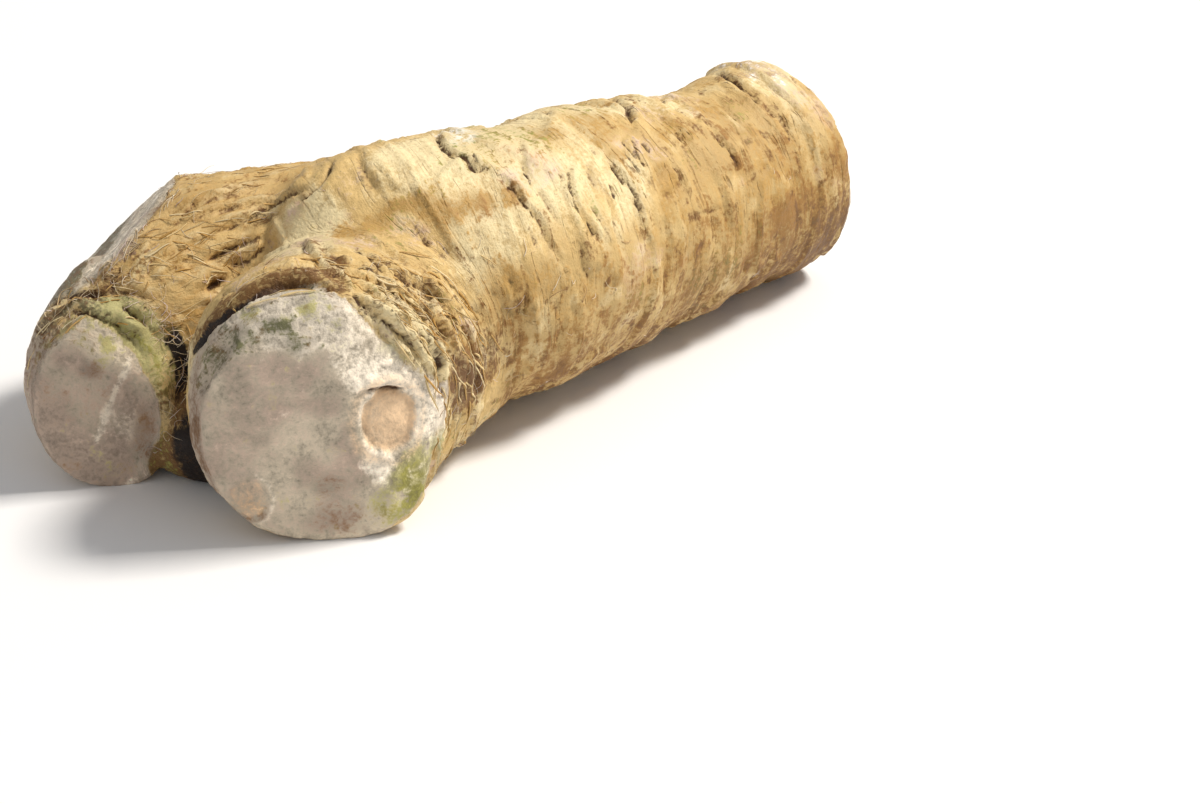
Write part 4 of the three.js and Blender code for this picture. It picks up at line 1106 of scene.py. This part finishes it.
# A mossy patch low on its right.
out_right = share["right head"] + 0.08 * rough_wide + 0.04 * rough
mossy = outer_right * near(turned, 213, 27) * step(0.6, 0.85, out_right)
lay("green", mossy * (0.6 + 0.4 * step(-0.3, 0.2, blotch)))
lay("white", 0.4 * mossy * blots(-0.1, 0.4, 3.2, 147, 2))
lay("olive", 0.95 * mossy * near(turned, 219, 15) * step(0.78, 0.9, out_right) * step(-0.5, 0.0, blotch))
crown_right = outer_top * near(turned, 80, 55)
lay("moss", 0.5 * crown_right * blots(0.1, 0.45, 1.5, 145, 2))
lay("stain", 0.3 * crown_right * blots(0.1, 0.45, 1.9, 147, 2))
# The left head: its side, its worn crown, and the grooved green rim round it.
turned = angles["left head"]
rim_left = cut["left"] + 0.5 * rough_wide + 0.3 * rough
side_left = part["left head"] * step(16, 9, rim_left) * (1 - left) \
    * np.maximum(near(turned, 10, 60), near(turned, 350, 50))
for name, strength in (("flesh", 0.9), ("mauve", 0.8), ("stain", 0.3)):
    lay(name, strength * side_left)
crown_left = worn["left"] * near(turned, 80, 70)
lay("pale", 0.3 * worn["left"])
lay("mauve", 0.6 * worn["left"] * (1 - near(turned, 110, 45)))
lay("green", 0.8 * crown_left * step(-0.6, 0.4, grainy))
lay("moss", 0.65 * crown_left * near(turned, 65, 45) * step(-0.7, 0.4, blotch))
lay("stain", 0.5 * crown_left * near(turned, 60, 45))
around_left = np.clip(part["left head"] + part["left lobe"] * step(7, 5, rim_left), 0, 1)
around_left = step(9.5, 7.5, rim_left) * around_left * (1 - left) * (1 - worn["left"])
band = around_left * near(turned, 125, 62)
out_left = share["left head"] + 0.02 * rough + 0.03 * rough_wide + 0.03 * np.maximum(rim_left, 0)
lay("cream", 0.8 * band)
lay("green", 0.95 * band)
lay("moss", 0.85 * around_left * near(turned, 70, 38))
lay("stain", 0.6 * around_left * near(turned, 62, 38))
lay("olive", 0.75 * band * hump(out_left - 0.93, 0.045))
lay("moss", 0.7 * band * hump(out_left - 0.93, 0.025) * step(-0.3, 0.3, rough_wide))
lay("moss", 0.5 * band * near(turned, 85, 20) * step(-0.4, 0.4, blotch))
lay("olive", 0.5 * around_left * near(turned, 195, 46))
lay("stain", 0.75 * around_left * near(turned, 205, 46) * step(-0.7, 0.3, blotch))
# Single spots on both heads.
spots("white", [([13.2, -8.6, 41.2], [6, 5, 4], 0.95), ([18.4, -10.8, 38.3], [5, 5, 3.5], 0.95),
                ([23.6, -13.2, 34.5], 4, 0.9), ([12.3, -11.4, 19.5], [4, 4, 5], 0.9),
                ([9.3, -6.7, 45.5], 4, 0.5), ([25, -13.5, 31], [3, 3, 5], 0.8)])
spots("moss", [([-0.7, 2.6, 53], [4, 4, 2.5], 0.65), ([0, 0.4, 49.9], [3, 3, 2.5], 0.65),
               ([-2.4, 4.8, 54.1], [3, 3, 2], 0.6), ([-8.2, 9, 51.1], [6, 5, 3], 0.5),
               ([-12, 13.3, 46.1], [4, 4, 3], 0.6), ([-14.8, 15.9, 40], [3, 3, 4], 0.5)])
spots("green", [([19.6, -10.7, 41.8], [4, 3, 2.5], 0.5), ([17.2, -9.4, 45.4], [3, 3, 2.5], 0.4)])
spots("stain", [([4.5, -6, 6.6], [10, 9, 4.5], 0.4), ([-11.5, 8, 12], [7, 7, 5.5], 0.3),
                ([-16.6, 16.8, 30], [3, 3, 8], 0.6), ([-16.4, 15, 20], [2.5, 2.5, 5], 0.5),
                ([-9.5, 46.5, 14], [3, 3, 6], 0.5), ([-18.1, 52.6, 31.1], [3, 3, 2.5], 0.5)])
spots("mauve", [([-16.9, 16.5, 29.2], [3, 3, 8], 0.6), ([-16, 13, 22], [3, 3, 6], 0.5),
                ([2.7, -4.3, 5.5], [9, 8, 4], 0.5), ([-10, 46.1, 15], [3, 3, 6], 0.6),
                ([-13, 48, 21], [3.5, 3.5, 5], 0.4), ([-18.1, 52.6, 31.1], [3, 3, 2.5], 0.5)])
at, d, _, _ = laid(FACE_CRACK, 5)
lay("pale", 0.6 * filled(at, hump(d, 1.2 + 0.6 * rough[at])))
spots("pale", [([-13.3, 48.4, 16.1], 5, 0.5)])
# The bud scar: clean salmon flesh in a tan groove, with a salmon blush round it.
lay("salmon", scar * (0.9 + 0.3 * rough_wide))
lay("salmon", 0.5 * hump(bud_d - 8.3, 1.4))
for name in ("white", "green", "stain"):
    wash[name] *= 1 - scar
lay("tan", 0.75 * hump(bud_d - 5.6, 0.9) * step(-0.3, 0.3, rough_wide + 0.2))

# The fork: painted shade, brown and near black, between the heads, over the web that joins them, and under
# the bark that leans over the gap.
deep = crevice * np.clip(part["left head"] + part["web"] + part["left lobe"], 0, 1)
mouth = step(46, 20, np.linalg.norm((skin - [2, 32, 34]) * [1, 1.3, 1], axis=1))
slant = y + 0.25 * (z - 30) + 1.2 * rough_wide
inside = 1 - step(-6, -2, x) * step(45.5, 49, slant)
low_side = step(36.5, 40.5, y + 1.2 * rough) * step(27, 15, z)
lay("olive", 0.4 * low_side * part["web"])
lay("brown", 0.9 * deep * mouth * bark * inside)
lay("soot", 0.95 * step(0.25, 0.7, deep) * mouth * bark * inside * (1 - low_side))
lay("brown", 0.95 * part["web"] * inside)
lay("soot", 0.85 * part["web"] * inside * (1 - low_side))
lay("rust", 0.6 * step(3, 0, np.abs(slant - 48)) * step(-6, -2, x) * part["web"])
# Painted shade in the gap, and brown and rust painted shade on the bark just over it.
at, d, _, _ = laid(GAP, 10)
gap_shade = filled(at, step(2.2, 1.0, d + 0.8 * rough[at] + 0.05 * (x[at] + 10)))
lay("brown", 0.9 * gap_shade)
lay("soot", 0.95 * gap_shade * step(8, -2, x))
shade_beside_gap = filled(at, over_gap[at] * step(9, 3, d + 2 * rough_wide[at]))
lay("brown", 0.6 * shade_beside_gap)
lay("rust", 0.6 * shade_beside_gap)
# Every crack is dark, and sharp hollows are darkened as painted shade.
lay("crack", mask["crack"])
lay("crack", 0.45 * step(0.3, 0.9, hollow_small) * bark)

# Painted shade and shadow darken the tap root low on its near side, towards its tip below its top, at its
# neck by the right head, and at its far end near the floor.
lay("tan", 0.7 * step(8, -10, y - 0.15 * (z - 30)) * step(120, 165, x) * step(52, 38, z))
lay("brown", 0.3 * step(2, -14, y) * step(130, 170, x) * step(50, 30, z))
for name, strength, none, full, ragged in (("tan", 0.65, 58, 38, 6), ("ochre", 0.4, 56, 40, 8),
                                           ("rust", 0.5, 46, 24, 6), ("brown", 0.5, 28, 8, 6)):
    lay(name, strength * part["trunk"] * step(none, full, z + ragged * rough_wide) * step(12, 0, y))
for name, strength, none, full, top in (("tan", 0.6, 115, 160, 62), ("ochre", 0.4, 130, 165, 60),
                                        ("rust", 0.4, 135, 170, 52)):
    lay(name, strength * part["trunk"] * step(none, full, x + 8 * rough_wide) * step(top, top - 12, z))
spots("rust", [([39, -10, 32], [8, 8, 12], 0.8), ([48, -7, 32], [9, 8, 8], 0.6)])
spots("stain", [([38, -11, 30], [6, 6, 10], 0.75), ([47, -7, 30], [9, 8, 7], 0.6)])
lay("stain", 0.45 * step(150, 172, x + 4 * rough_wide) * step(44, 26, z + 5 * rough_wide) * step(20, 6, y))
lay("stain", 0.25 * part["trunk"] * step(40, 18, z + 6 * rough_wide) * step(10, 0, y) * step(66, 80, x))
# Painted shade in the collar's notch.
spots("brown", [([19.3, 7.3, 61], [2.2, 2.5, 2], 0.9)])

# What is kept pale: the rounded nose of the tap root between the heads, pale cream and made paler still as
# painted light on its shaded front; the fringe over the right head's rim; and the pale dapples.
nose = step(1.4, 0.5, np.linalg.norm((skin - [29, 30, 57]) / [8, 9, 6], axis=1) + 0.2 * rough_wide)
light_fringe = fringe["right"] * step(6, 3, depth_in["right"]) * near(angles["right head"], 160, 40)
for name in ("tan", "ochre", "rust", "brown"):
    wash[name] *= (1 - 0.75 * nose) * (1 - 0.5 * light_fringe) * (1 - 0.4 * pale_dapple)
lay("cream", 0.75 * nose)
lay("cream", 0.45 * pale_dapple)
lay("cream", 0.7 * light_fringe)
# Painted shade: the underside is browner towards the floor.
lay("brown", 0.45 * step(16, 3, z) * bark)

# ---------------------------------------------------------------- meshes and materials


def mesh_of(name, points, faces):
    """A smooth object made of points in millimetres (growth frame) and lists of corners."""
    mesh = bpy.data.meshes.new(name)
    mesh.from_pydata(((points + SHIFT) * MM).tolist(), [], faces)
    mesh.polygons.foreach_set("use_smooth", np.full(len(mesh.polygons), True))
    mesh.update()
    obj = bpy.data.objects.new(name, mesh)
    bpy.context.scene.collection.objects.link(obj)
    return obj


def attribute(obj, name, values):
    """Stores one number, a vector or a colour for each point."""
    kind, key = {1: ("FLOAT", "value"), 3: ("FLOAT_VECTOR", "vector"),
                 4: ("FLOAT_COLOR", "color")}[1 if values.ndim == 1 else values.shape[1]]
    obj.data.attributes.new(name, kind, "POINT").data.foreach_set(key, values.astype(np.float32).ravel())


def add_node(tree, kind, inputs, **settings):
    """Adds a node, sets its properties, and fills its inputs, given by name or number: an output is
    linked in, and a number or a colour is set on the input itself."""
    node = tree.nodes.new(kind)
    for key, value in settings.items():
        setattr(node, key, value)
    for key, value in inputs.items():
        if isinstance(value, bpy.types.NodeSocket):
            tree.links.new(value, node.inputs[key])
        else:
            node.inputs[key].default_value = value
    return node


def new_material(name):
    """A material with an empty node tree, and the tree."""
    material = bpy.data.materials.new(name)
    material.use_nodes = True
    material.node_tree.nodes.clear()
    return material, material.node_tree


def linear(value):
    """An sRGB hex value as linear red, green, blue and an alpha of 1."""
    c = np.array([value >> 16 & 255, value >> 8 & 255, value & 255]) / 255
    return (*np.where(c <= 0.04045, c / 12.92, ((c + 0.055) / 1.055) ** 2.4), 1.0)


def bark_material():
    """Horseradish root, scrubbed and knife-trimmed: matt corky bark and dry cut flesh. The washes
    carry the large colours, torn at their edges by the grain. Streaks run round the limb 1.5 mm
    apart and 10 mm long, or along it 0.9 mm apart where it is fibrous, with specks of 1.1 mm and
    flecks of 3.1 mm."""
    material, tree = new_material("horseradish bark and dried flesh")
    held = {name: add_node(tree, "ShaderNodeAttribute", {}, attribute_name=name).outputs
            for name in ("grain", "fibre", "lines", "grit", *wash)}
    place = add_node(tree, "ShaderNodeTexCoord", {}).outputs["Object"]

    def run_with_grain(round_limb, along_limb, detail, roughness, warp):
        """Noise stretched by sizes in mm (along the limb, then across it twice), one set where it
        runs round the limb and another where the skin is fibrous."""
        rings, strings = (
            add_node(tree, "ShaderNodeMapping", {"Vector": held["grain"]["Vector"],
                                                 "Scale": [1 / mm for mm in sizes]}).outputs[0]
            for sizes in (round_limb, along_limb))
        way = add_node(tree, "ShaderNodeMix", {0: held["fibre"]["Fac"], 4: rings, 5: strings},
                       data_type="VECTOR").outputs[1]
        return add_node(tree, "ShaderNodeTexNoise", {
            "Vector": way, "Scale": 1.0, "Detail": detail, "Roughness": roughness,
            "Distortion": warp}).outputs[0]

    streaks = run_with_grain((1.5, 10, 10), (9, 0.9, 0.9), 4.0, 0.6, 0.4)
    specks = add_node(tree, "ShaderNodeTexNoise", {
        "Vector": place, "Scale": 1 / (1.1 * MM), "Detail": 3.0, "Roughness": 0.65}).outputs[0]
    flecks = add_node(tree, "ShaderNodeTexNoise", {
        "Vector": place, "Scale": 1 / (3.1 * MM), "Detail": 4.0, "Roughness": 0.7}).outputs[0]
    # The tear: streaks + specks + flecks - 1.5, about -0.4 to 0.4.
    tear = add_node(tree, "ShaderNodeMath", {0: streaks, 1: specks}, operation="ADD").outputs[0]
    tear = add_node(tree, "ShaderNodeMath", {0: tear, 1: flecks}, operation="ADD").outputs[0]
    tear = add_node(tree, "ShaderNodeMath", {0: tear, 1: 1.5}, operation="SUBTRACT").outputs[0]
    colour = linear(STRAW)
    for name, shade, move, start, full in WASHES:
        laid_on = held[name]["Fac"]
        moved = add_node(tree, "ShaderNodeMath", {0: tear, 1: move, 2: laid_on}, operation="MULTIPLY_ADD")
        amount = add_node(tree, "ShaderNodeMapRange", {0: moved.outputs[0], 1: start, 2: full},
                          interpolation_type="SMOOTHSTEP")
        there = add_node(tree, "ShaderNodeMapRange", {0: laid_on, 1: 0.02, 2: 0.2})
        amount = add_node(tree, "ShaderNodeMath", {0: amount.outputs[0], 1: there.outputs[0]},
                          operation="MULTIPLY").outputs[0]
        colour = add_node(tree, "ShaderNodeMix", {0: amount, 6: colour, 7: linear(shade)},
                          data_type="RGBA").outputs[2]
    # Thin wrinkles where a slow noise crosses its middle: 4.5 mm apart and long round the limb, or
    # 2.6 mm apart along the fibres; the flecks break them up.
    slow = run_with_grain((4.5, 36, 36), (44, 2.6, 2.6), 2.5, 0.5, 0.3)
    apart = add_node(tree, "ShaderNodeMath", {0: slow, 1: 0.5}, operation="SUBTRACT")
    apart = add_node(tree, "ShaderNodeMath", {0: apart.outputs[0]}, operation="ABSOLUTE")
    thin = add_node(tree, "ShaderNodeMapRange", {0: apart.outputs[0], 1: 0.0, 2: 0.035, 3: 1.0, 4: 0.0},
                    interpolation_type="SMOOTHSTEP").outputs[0]
    broken = add_node(tree, "ShaderNodeMapRange", {0: flecks, 1: 0.42, 2: 0.6}).outputs[0]
    for factor in (broken, held["lines"]["Fac"]):
        thin = add_node(tree, "ShaderNodeMath", {0: thin, 1: factor}, operation="MULTIPLY").outputs[0]
    inked = add_node(tree, "ShaderNodeMath", {0: thin, 1: 0.75}, operation="MULTIPLY").outputs[0]
    colour = add_node(tree, "ShaderNodeMix", {0: inked, 6: colour, 7: linear(WRINKLE)},
                      data_type="RGBA").outputs[2]
    light = add_node(tree, "ShaderNodeMath", {0: tear, 1: held["grit"]["Fac"], 2: 0.97},
                     operation="MULTIPLY_ADD").outputs[0]
    shade = add_node(tree, "ShaderNodeVectorMath", {0: colour, "Scale": light}, operation="SCALE")
    # Height in millimetres: the grain, less what a crack (the last wash) and a wrinkle take out.
    taken = add_node(tree, "ShaderNodeMath", {0: amount, 1: thin}, operation="ADD").outputs[0]
    taken = add_node(tree, "ShaderNodeMath", {0: taken, 1: -0.5}, operation="MULTIPLY").outputs[0]
    height = add_node(tree, "ShaderNodeMath", {0: tear, 1: 0.35, 2: taken}, operation="MULTIPLY_ADD")
    bump = add_node(tree, "ShaderNodeBump", {"Height": height.outputs[0], "Strength": 0.8,
                                             "Distance": 1.0 * MM})
    surface = add_node(tree, "ShaderNodeBsdfPrincipled", {
        "Base Color": shade.outputs[0], "Normal": bump.outputs[0], "Roughness": 0.6,
        "Specular IOR Level": 0.35})
    add_node(tree, "ShaderNodeOutputMaterial", {"Surface": surface.outputs[0]})
    return material


def plain_material(name, colour, roughness, specular):
    """A matt surface of one colour or, where none is given, of each strand's own tint."""
    material, tree = new_material(name)
    colour = colour or add_node(tree, "ShaderNodeAttribute", {}, attribute_name="tint").outputs["Color"]
    surface = add_node(tree, "ShaderNodeBsdfPrincipled", {
        "Base Color": colour, "Roughness": roughness, "Specular IOR Level": specular})
    add_node(tree, "ShaderNodeOutputMaterial", {"Surface": surface.outputs[0]})
    return material


root = mesh_of("root_skin", shaped, quads.tolist())
attribute(root, "grain", grain)
attribute(root, "fibre", mask["fibre"])
attribute(root, "lines", np.clip((0.35 + 0.65 * wrinkled) * trunk + 0.3 * lobe, 0, 1) * bark)
attribute(root, "grit", 0.55 + 0.75 * on_face * (1 - 0.8 * scar))
for name, amount in wash.items():
    attribute(root, name, amount)
root.data.materials.append(bark_material())
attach(root, "root")
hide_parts("root")
print("skin made", len(root.data.vertices))

# ---------------------------------------------------------------- root hairs and loose bark

skin_tree = KDTree(count)
for i, p in enumerate(shaped):
    skin_tree.insert(p, i)
skin_tree.balance()

STEPS = 8  # lengths in a strand
ROOTED = 0.25  # how deep a strand starts under the skin, mm
NUDGE = 1.2  # how far one step may be moved towards or away from the skin, mm
CLEAR = 0.3  # how far above the floor a strand's middle line stays, mm
# How thick a strand is along its length, as a share: the root, the first ring, the last but one and
# the tip.
TAPER = ([0, 1, STEPS - 1, STEPS], [0.8, 1.0, 0.55, 0.2])


def strands(weight, many, seeds, length, radius, lift, way, stand, scatter, wander, flatness=1.0, sides=3):
    """Tapered tubes grown from `many` skin points drawn by weight. A strand heads along `way` (one
    direction or one for each skin point) plus `stand` times the normal plus a seeded scatter. Each
    step goes on by length / STEPS, the heading turns by a seeded wander, and the strand is held at
    up to `lift` mm over the nearest skin. The section is a ring of `sides` points, flattened by
    `flatness` against the skin, and each end is one face. Lengths, radii and lifts are ranges in mm."""
    pick, rng = (np.random.default_rng(seed) for seed in seeds)
    weight = np.clip(weight, 0, None)
    roots = pick.choice(count, size=many, replace=False, p=weight / weight.sum())
    way = np.broadcast_to(np.asarray(way, float), (count, 3))[roots]
    heading = unit(way + stand * facing[roots] + scatter * rng.normal(0, 1, (many, 3)))
    at = shaped[roots] - facing[roots] * ROOTED
    line, up = [at], [facing[roots]]
    size = rng.uniform(*length, many) / STEPS
    rise_to = rng.uniform(*lift, many)
    for k in range(STEPS):
        heading = unit(heading + wander * rng.normal(0, 1, (many, 3)))
        at = at + heading * size[:, None]
        under = np.array([skin_tree.find(p)[1] for p in at])
        normal = facing[under]
        gap = ((at - shaped[under]) * normal).sum(1)
        want = rise_to * np.sin(np.pi * (k + 1) / STEPS * 0.8)
        at = at + normal * np.clip(want - gap, -NUDGE, NUDGE)[:, None]
        at[:, 2] = np.maximum(at[:, 2], CLEAR)
        line.append(at)
        up.append(normal)
    line, up = np.stack(line, 1), np.stack(up, 1)
    line[:, 1:-1] = (line[:, :-2] + 2 * line[:, 1:-1] + line[:, 2:]) / 4
    tangent = unit(np.gradient(line, axis=1))
    side = unit(np.cross(up, tangent) + 1e-6)
    over = np.cross(tangent, side)
    thick = rng.uniform(*radius, many)[:, None] * np.interp(np.arange(STEPS + 1), *TAPER)
    turns = (np.arange(sides) * 2 * np.pi / sides)[:, None]
    ring = side[:, :, None] * np.cos(turns) + over[:, :, None] * np.sin(turns) / flatness
    tube = line[:, :, None] + ring * thick[:, :, None, None]
    tube = np.clip(tube, low + 0.05, high - 0.05)
    index = np.arange(tube[..., 0].size).reshape(tube.shape[:3])
    nxt = np.roll(index, -1, axis=2)
    body = np.stack([index[:, :-1], nxt[:, :-1], nxt[:, 1:], index[:, 1:]], -1).reshape(-1, 4)
    return tube.reshape(-1, 3), (body, index[:, 0, ::-1], index[:, -1]), many


def strand_object(name, colours, seed, batches):
    """Joins batches of strands into one mesh; each strand keeps one colour out of a few."""
    rng = np.random.default_rng(seed)
    shades = np.array([linear(colour)[:3] for colour in colours])
    points, faces, tints, start = [], [], [], 0
    for tube, corners, many in batches:
        for some in corners:
            faces += (some + start).tolist()
        tint = shades[rng.integers(0, len(shades), many)] * rng.uniform(0.75, 1.1, (many, 1))
        tints.append(np.repeat(tint, len(tube) // many, axis=0))
        points.append(tube)
        start += len(tube)
    obj = mesh_of(name, np.vstack(points), faces)
    tints = np.clip(np.vstack(tints), 0, 1)
    attribute(obj, "tint", np.concatenate([tints, np.ones((len(tints), 1))], axis=1))
    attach(obj, "root")
    return obj


def round_rim(knife):
    """At each skin point, the way round a head, along its knife face's rim."""
    return unit(np.cross(facing, outward(knife)) + 1e-6)


# Where they grow: in the fork, behind each head, round the right rim, low on the tap root, over the
# left lobe and along the slice's edge.
in_fork = deep * mouth * bark * step(6, 12, z)
collar = hump(cut["right"] - 17, 9) * part["right head"] * near(angles["right head"], 150, 75) * bark
left_collar = hump(cut["left"] - 9, 7) * np.clip(part["left head"] + part["left lobe"], 0, 1) \
    * near(angles["left head"], 110, 80) * bark
rim_right = part["right head"] * bark * near(angles["right head"], 142, 62) * hump(depth_in["right"] - 7, 9)
low_trunk = hump(np.linalg.norm(skin - [58, -8, 38], axis=1), 13) * bark
lobe_skin = lobe * step(10, 25, z)
slice_edge = lobe * bark * hump(cut["shoulder"] - 1.4, 2.2) * step(36, 42, z) * step(64, 54, z)

# Each batch: where, how many, the seeds of the draw and of the growth; ranges of length, radius and
# lift; the direction, the shares of the normal and of the scatter in it, and the wander.
hairs = strand_object("root_hairs", (0xE8D8BC, 0xDCC8A4, 0xD2B68A, 0xE3CFC4, 0xB08C62), 21, [
    strands(in_fork, 150, (1, 11), (3, 10), (0.06, 0.12), (0.2, 1.4), (-0.4, 0.1, 0.3), 0.5, 0.8, 0.4),
    strands(collar, 70, (2, 12), (3, 8), (0.06, 0.12), (0.1, 0.6), (0.3, -0.3, 0.1), 0.3, 0.7, 0.35),
    strands(0.4 * left_collar + 0.4 * lobe_skin, 44, (3, 13), (3, 8), (0.05, 0.1), (0.05, 0.4),
            (0.8, -0.2, 0.2), 0.3, 0.6, 0.3),
    strands(low_trunk, 18, (4, 14), (3, 8), (0.07, 0.14), (0.2, 1.2), (0.1, 0.0, -0.3), 0.5, 0.8, 0.4),
    strands(0.1 * bark * step(8, 14, z), 45, (5, 15), (2, 5), (0.06, 0.1), (0.05, 0.4),
            (0.0, 0.5, -0.3), 0.2, 0.7, 0.35),
    strands(slice_edge, 80, (11, 22), (3, 9), (0.08, 0.18), (0.05, 0.35), (0.85, 0.3, 0.25),
            0.15, 0.3, 0.2),
    strands(slice_edge, 36, (12, 23), (2, 5), (0.07, 0.14), (0.1, 0.5), (-0.3, 0.6, 0.5),
            0.1, 0.35, 0.25),
])
hairs.data.materials.append(plain_material("dry root hair", None, 0.7, 0.3))

flakes = strand_object("loose_bark", (0xDEC48E, 0xCBA566, 0xE2CDA0, 0xBE9450), 22, [
    strands(collar * step(8, 11, cut["right"]), 60, (6, 16), (4, 11), (0.2, 0.42), (0.0, 0.2),
            (0.35, -0.35, -0.75), 0.1, 0.2, 0.1, flatness=3.2, sides=4),
    strands(rim_right, 130, (8, 18), (4, 12), (0.14, 0.34), (0.05, 0.5), round_rim("right"),
            0.0, 0.12, 0.07, flatness=1.8, sides=4),
    strands(left_collar * step(1, 2, cut["left"]), 40, (9, 19), (4, 9), (0.12, 0.26), (0.05, 0.35),
            round_rim("left"), 0.0, 0.12, 0.07, flatness=1.8, sides=4),
    strands(lobe_skin * step(48, 30, x) * (1 - deep), 110, (10, 20), (5, 14), (0.08, 0.17), (0.1, 0.5),
            (0.9, -0.45, 0.3), 0.1, 0.25, 0.14, flatness=1.3),
    strands(lobe_skin, 110, (7, 17), (4, 11), (0.15, 0.32), (0.0, 0.2), (0.9, -0.45, 0.3),
            0.1, 0.2, 0.1, flatness=2.6, sides=4),
])
flakes.data.materials.append(plain_material("loose corky bark", None, 0.65, 0.3))

# ---------------------------------------------------------------- the floor and the light

floor_mesh = bpy.data.meshes.new("floor")
floor_mesh.from_pydata([(-6, -6, 0), (6, -6, 0), (6, 6, 0), (-6, 6, 0)], [], [(0, 1, 2, 3)])
floor = bpy.data.objects.new("floor", floor_mesh)
bpy.context.scene.collection.objects.link(floor)
floor.data.materials.append(plain_material("matt white paper", linear(0xF5F5F5), 0.9, 0.1))
bpy.context.scene.view_settings.view_transform = "Standard"

world = bpy.data.worlds.new("studio")
bpy.context.scene.world = world
world.use_nodes = True
world.node_tree.nodes["Background"].inputs["Color"].default_value = linear(0xF2F3F6)
world.node_tree.nodes["Background"].inputs["Strength"].default_value = 0.46


def lamp(name, way, distance, size, power, colour):
    """A square soft light that looks at the root's middle from a direction."""
    light = bpy.data.lights.new(name, "AREA")
    light.shape, light.size, light.energy = "SQUARE", size, power
    light.color = linear(colour)[:3]
    obj = bpy.data.objects.new(name, light)
    way = Vector(way).normalized()
    obj.matrix_world = Matrix.Translation(way * distance) @ way.to_track_quat("Z", "Y").to_matrix().to_4x4()
    bpy.context.scene.collection.objects.link(obj)


lamp("key", (0.60, -0.40, 0.98), 2.3, 0.5, 56, 0xFFF9F1)
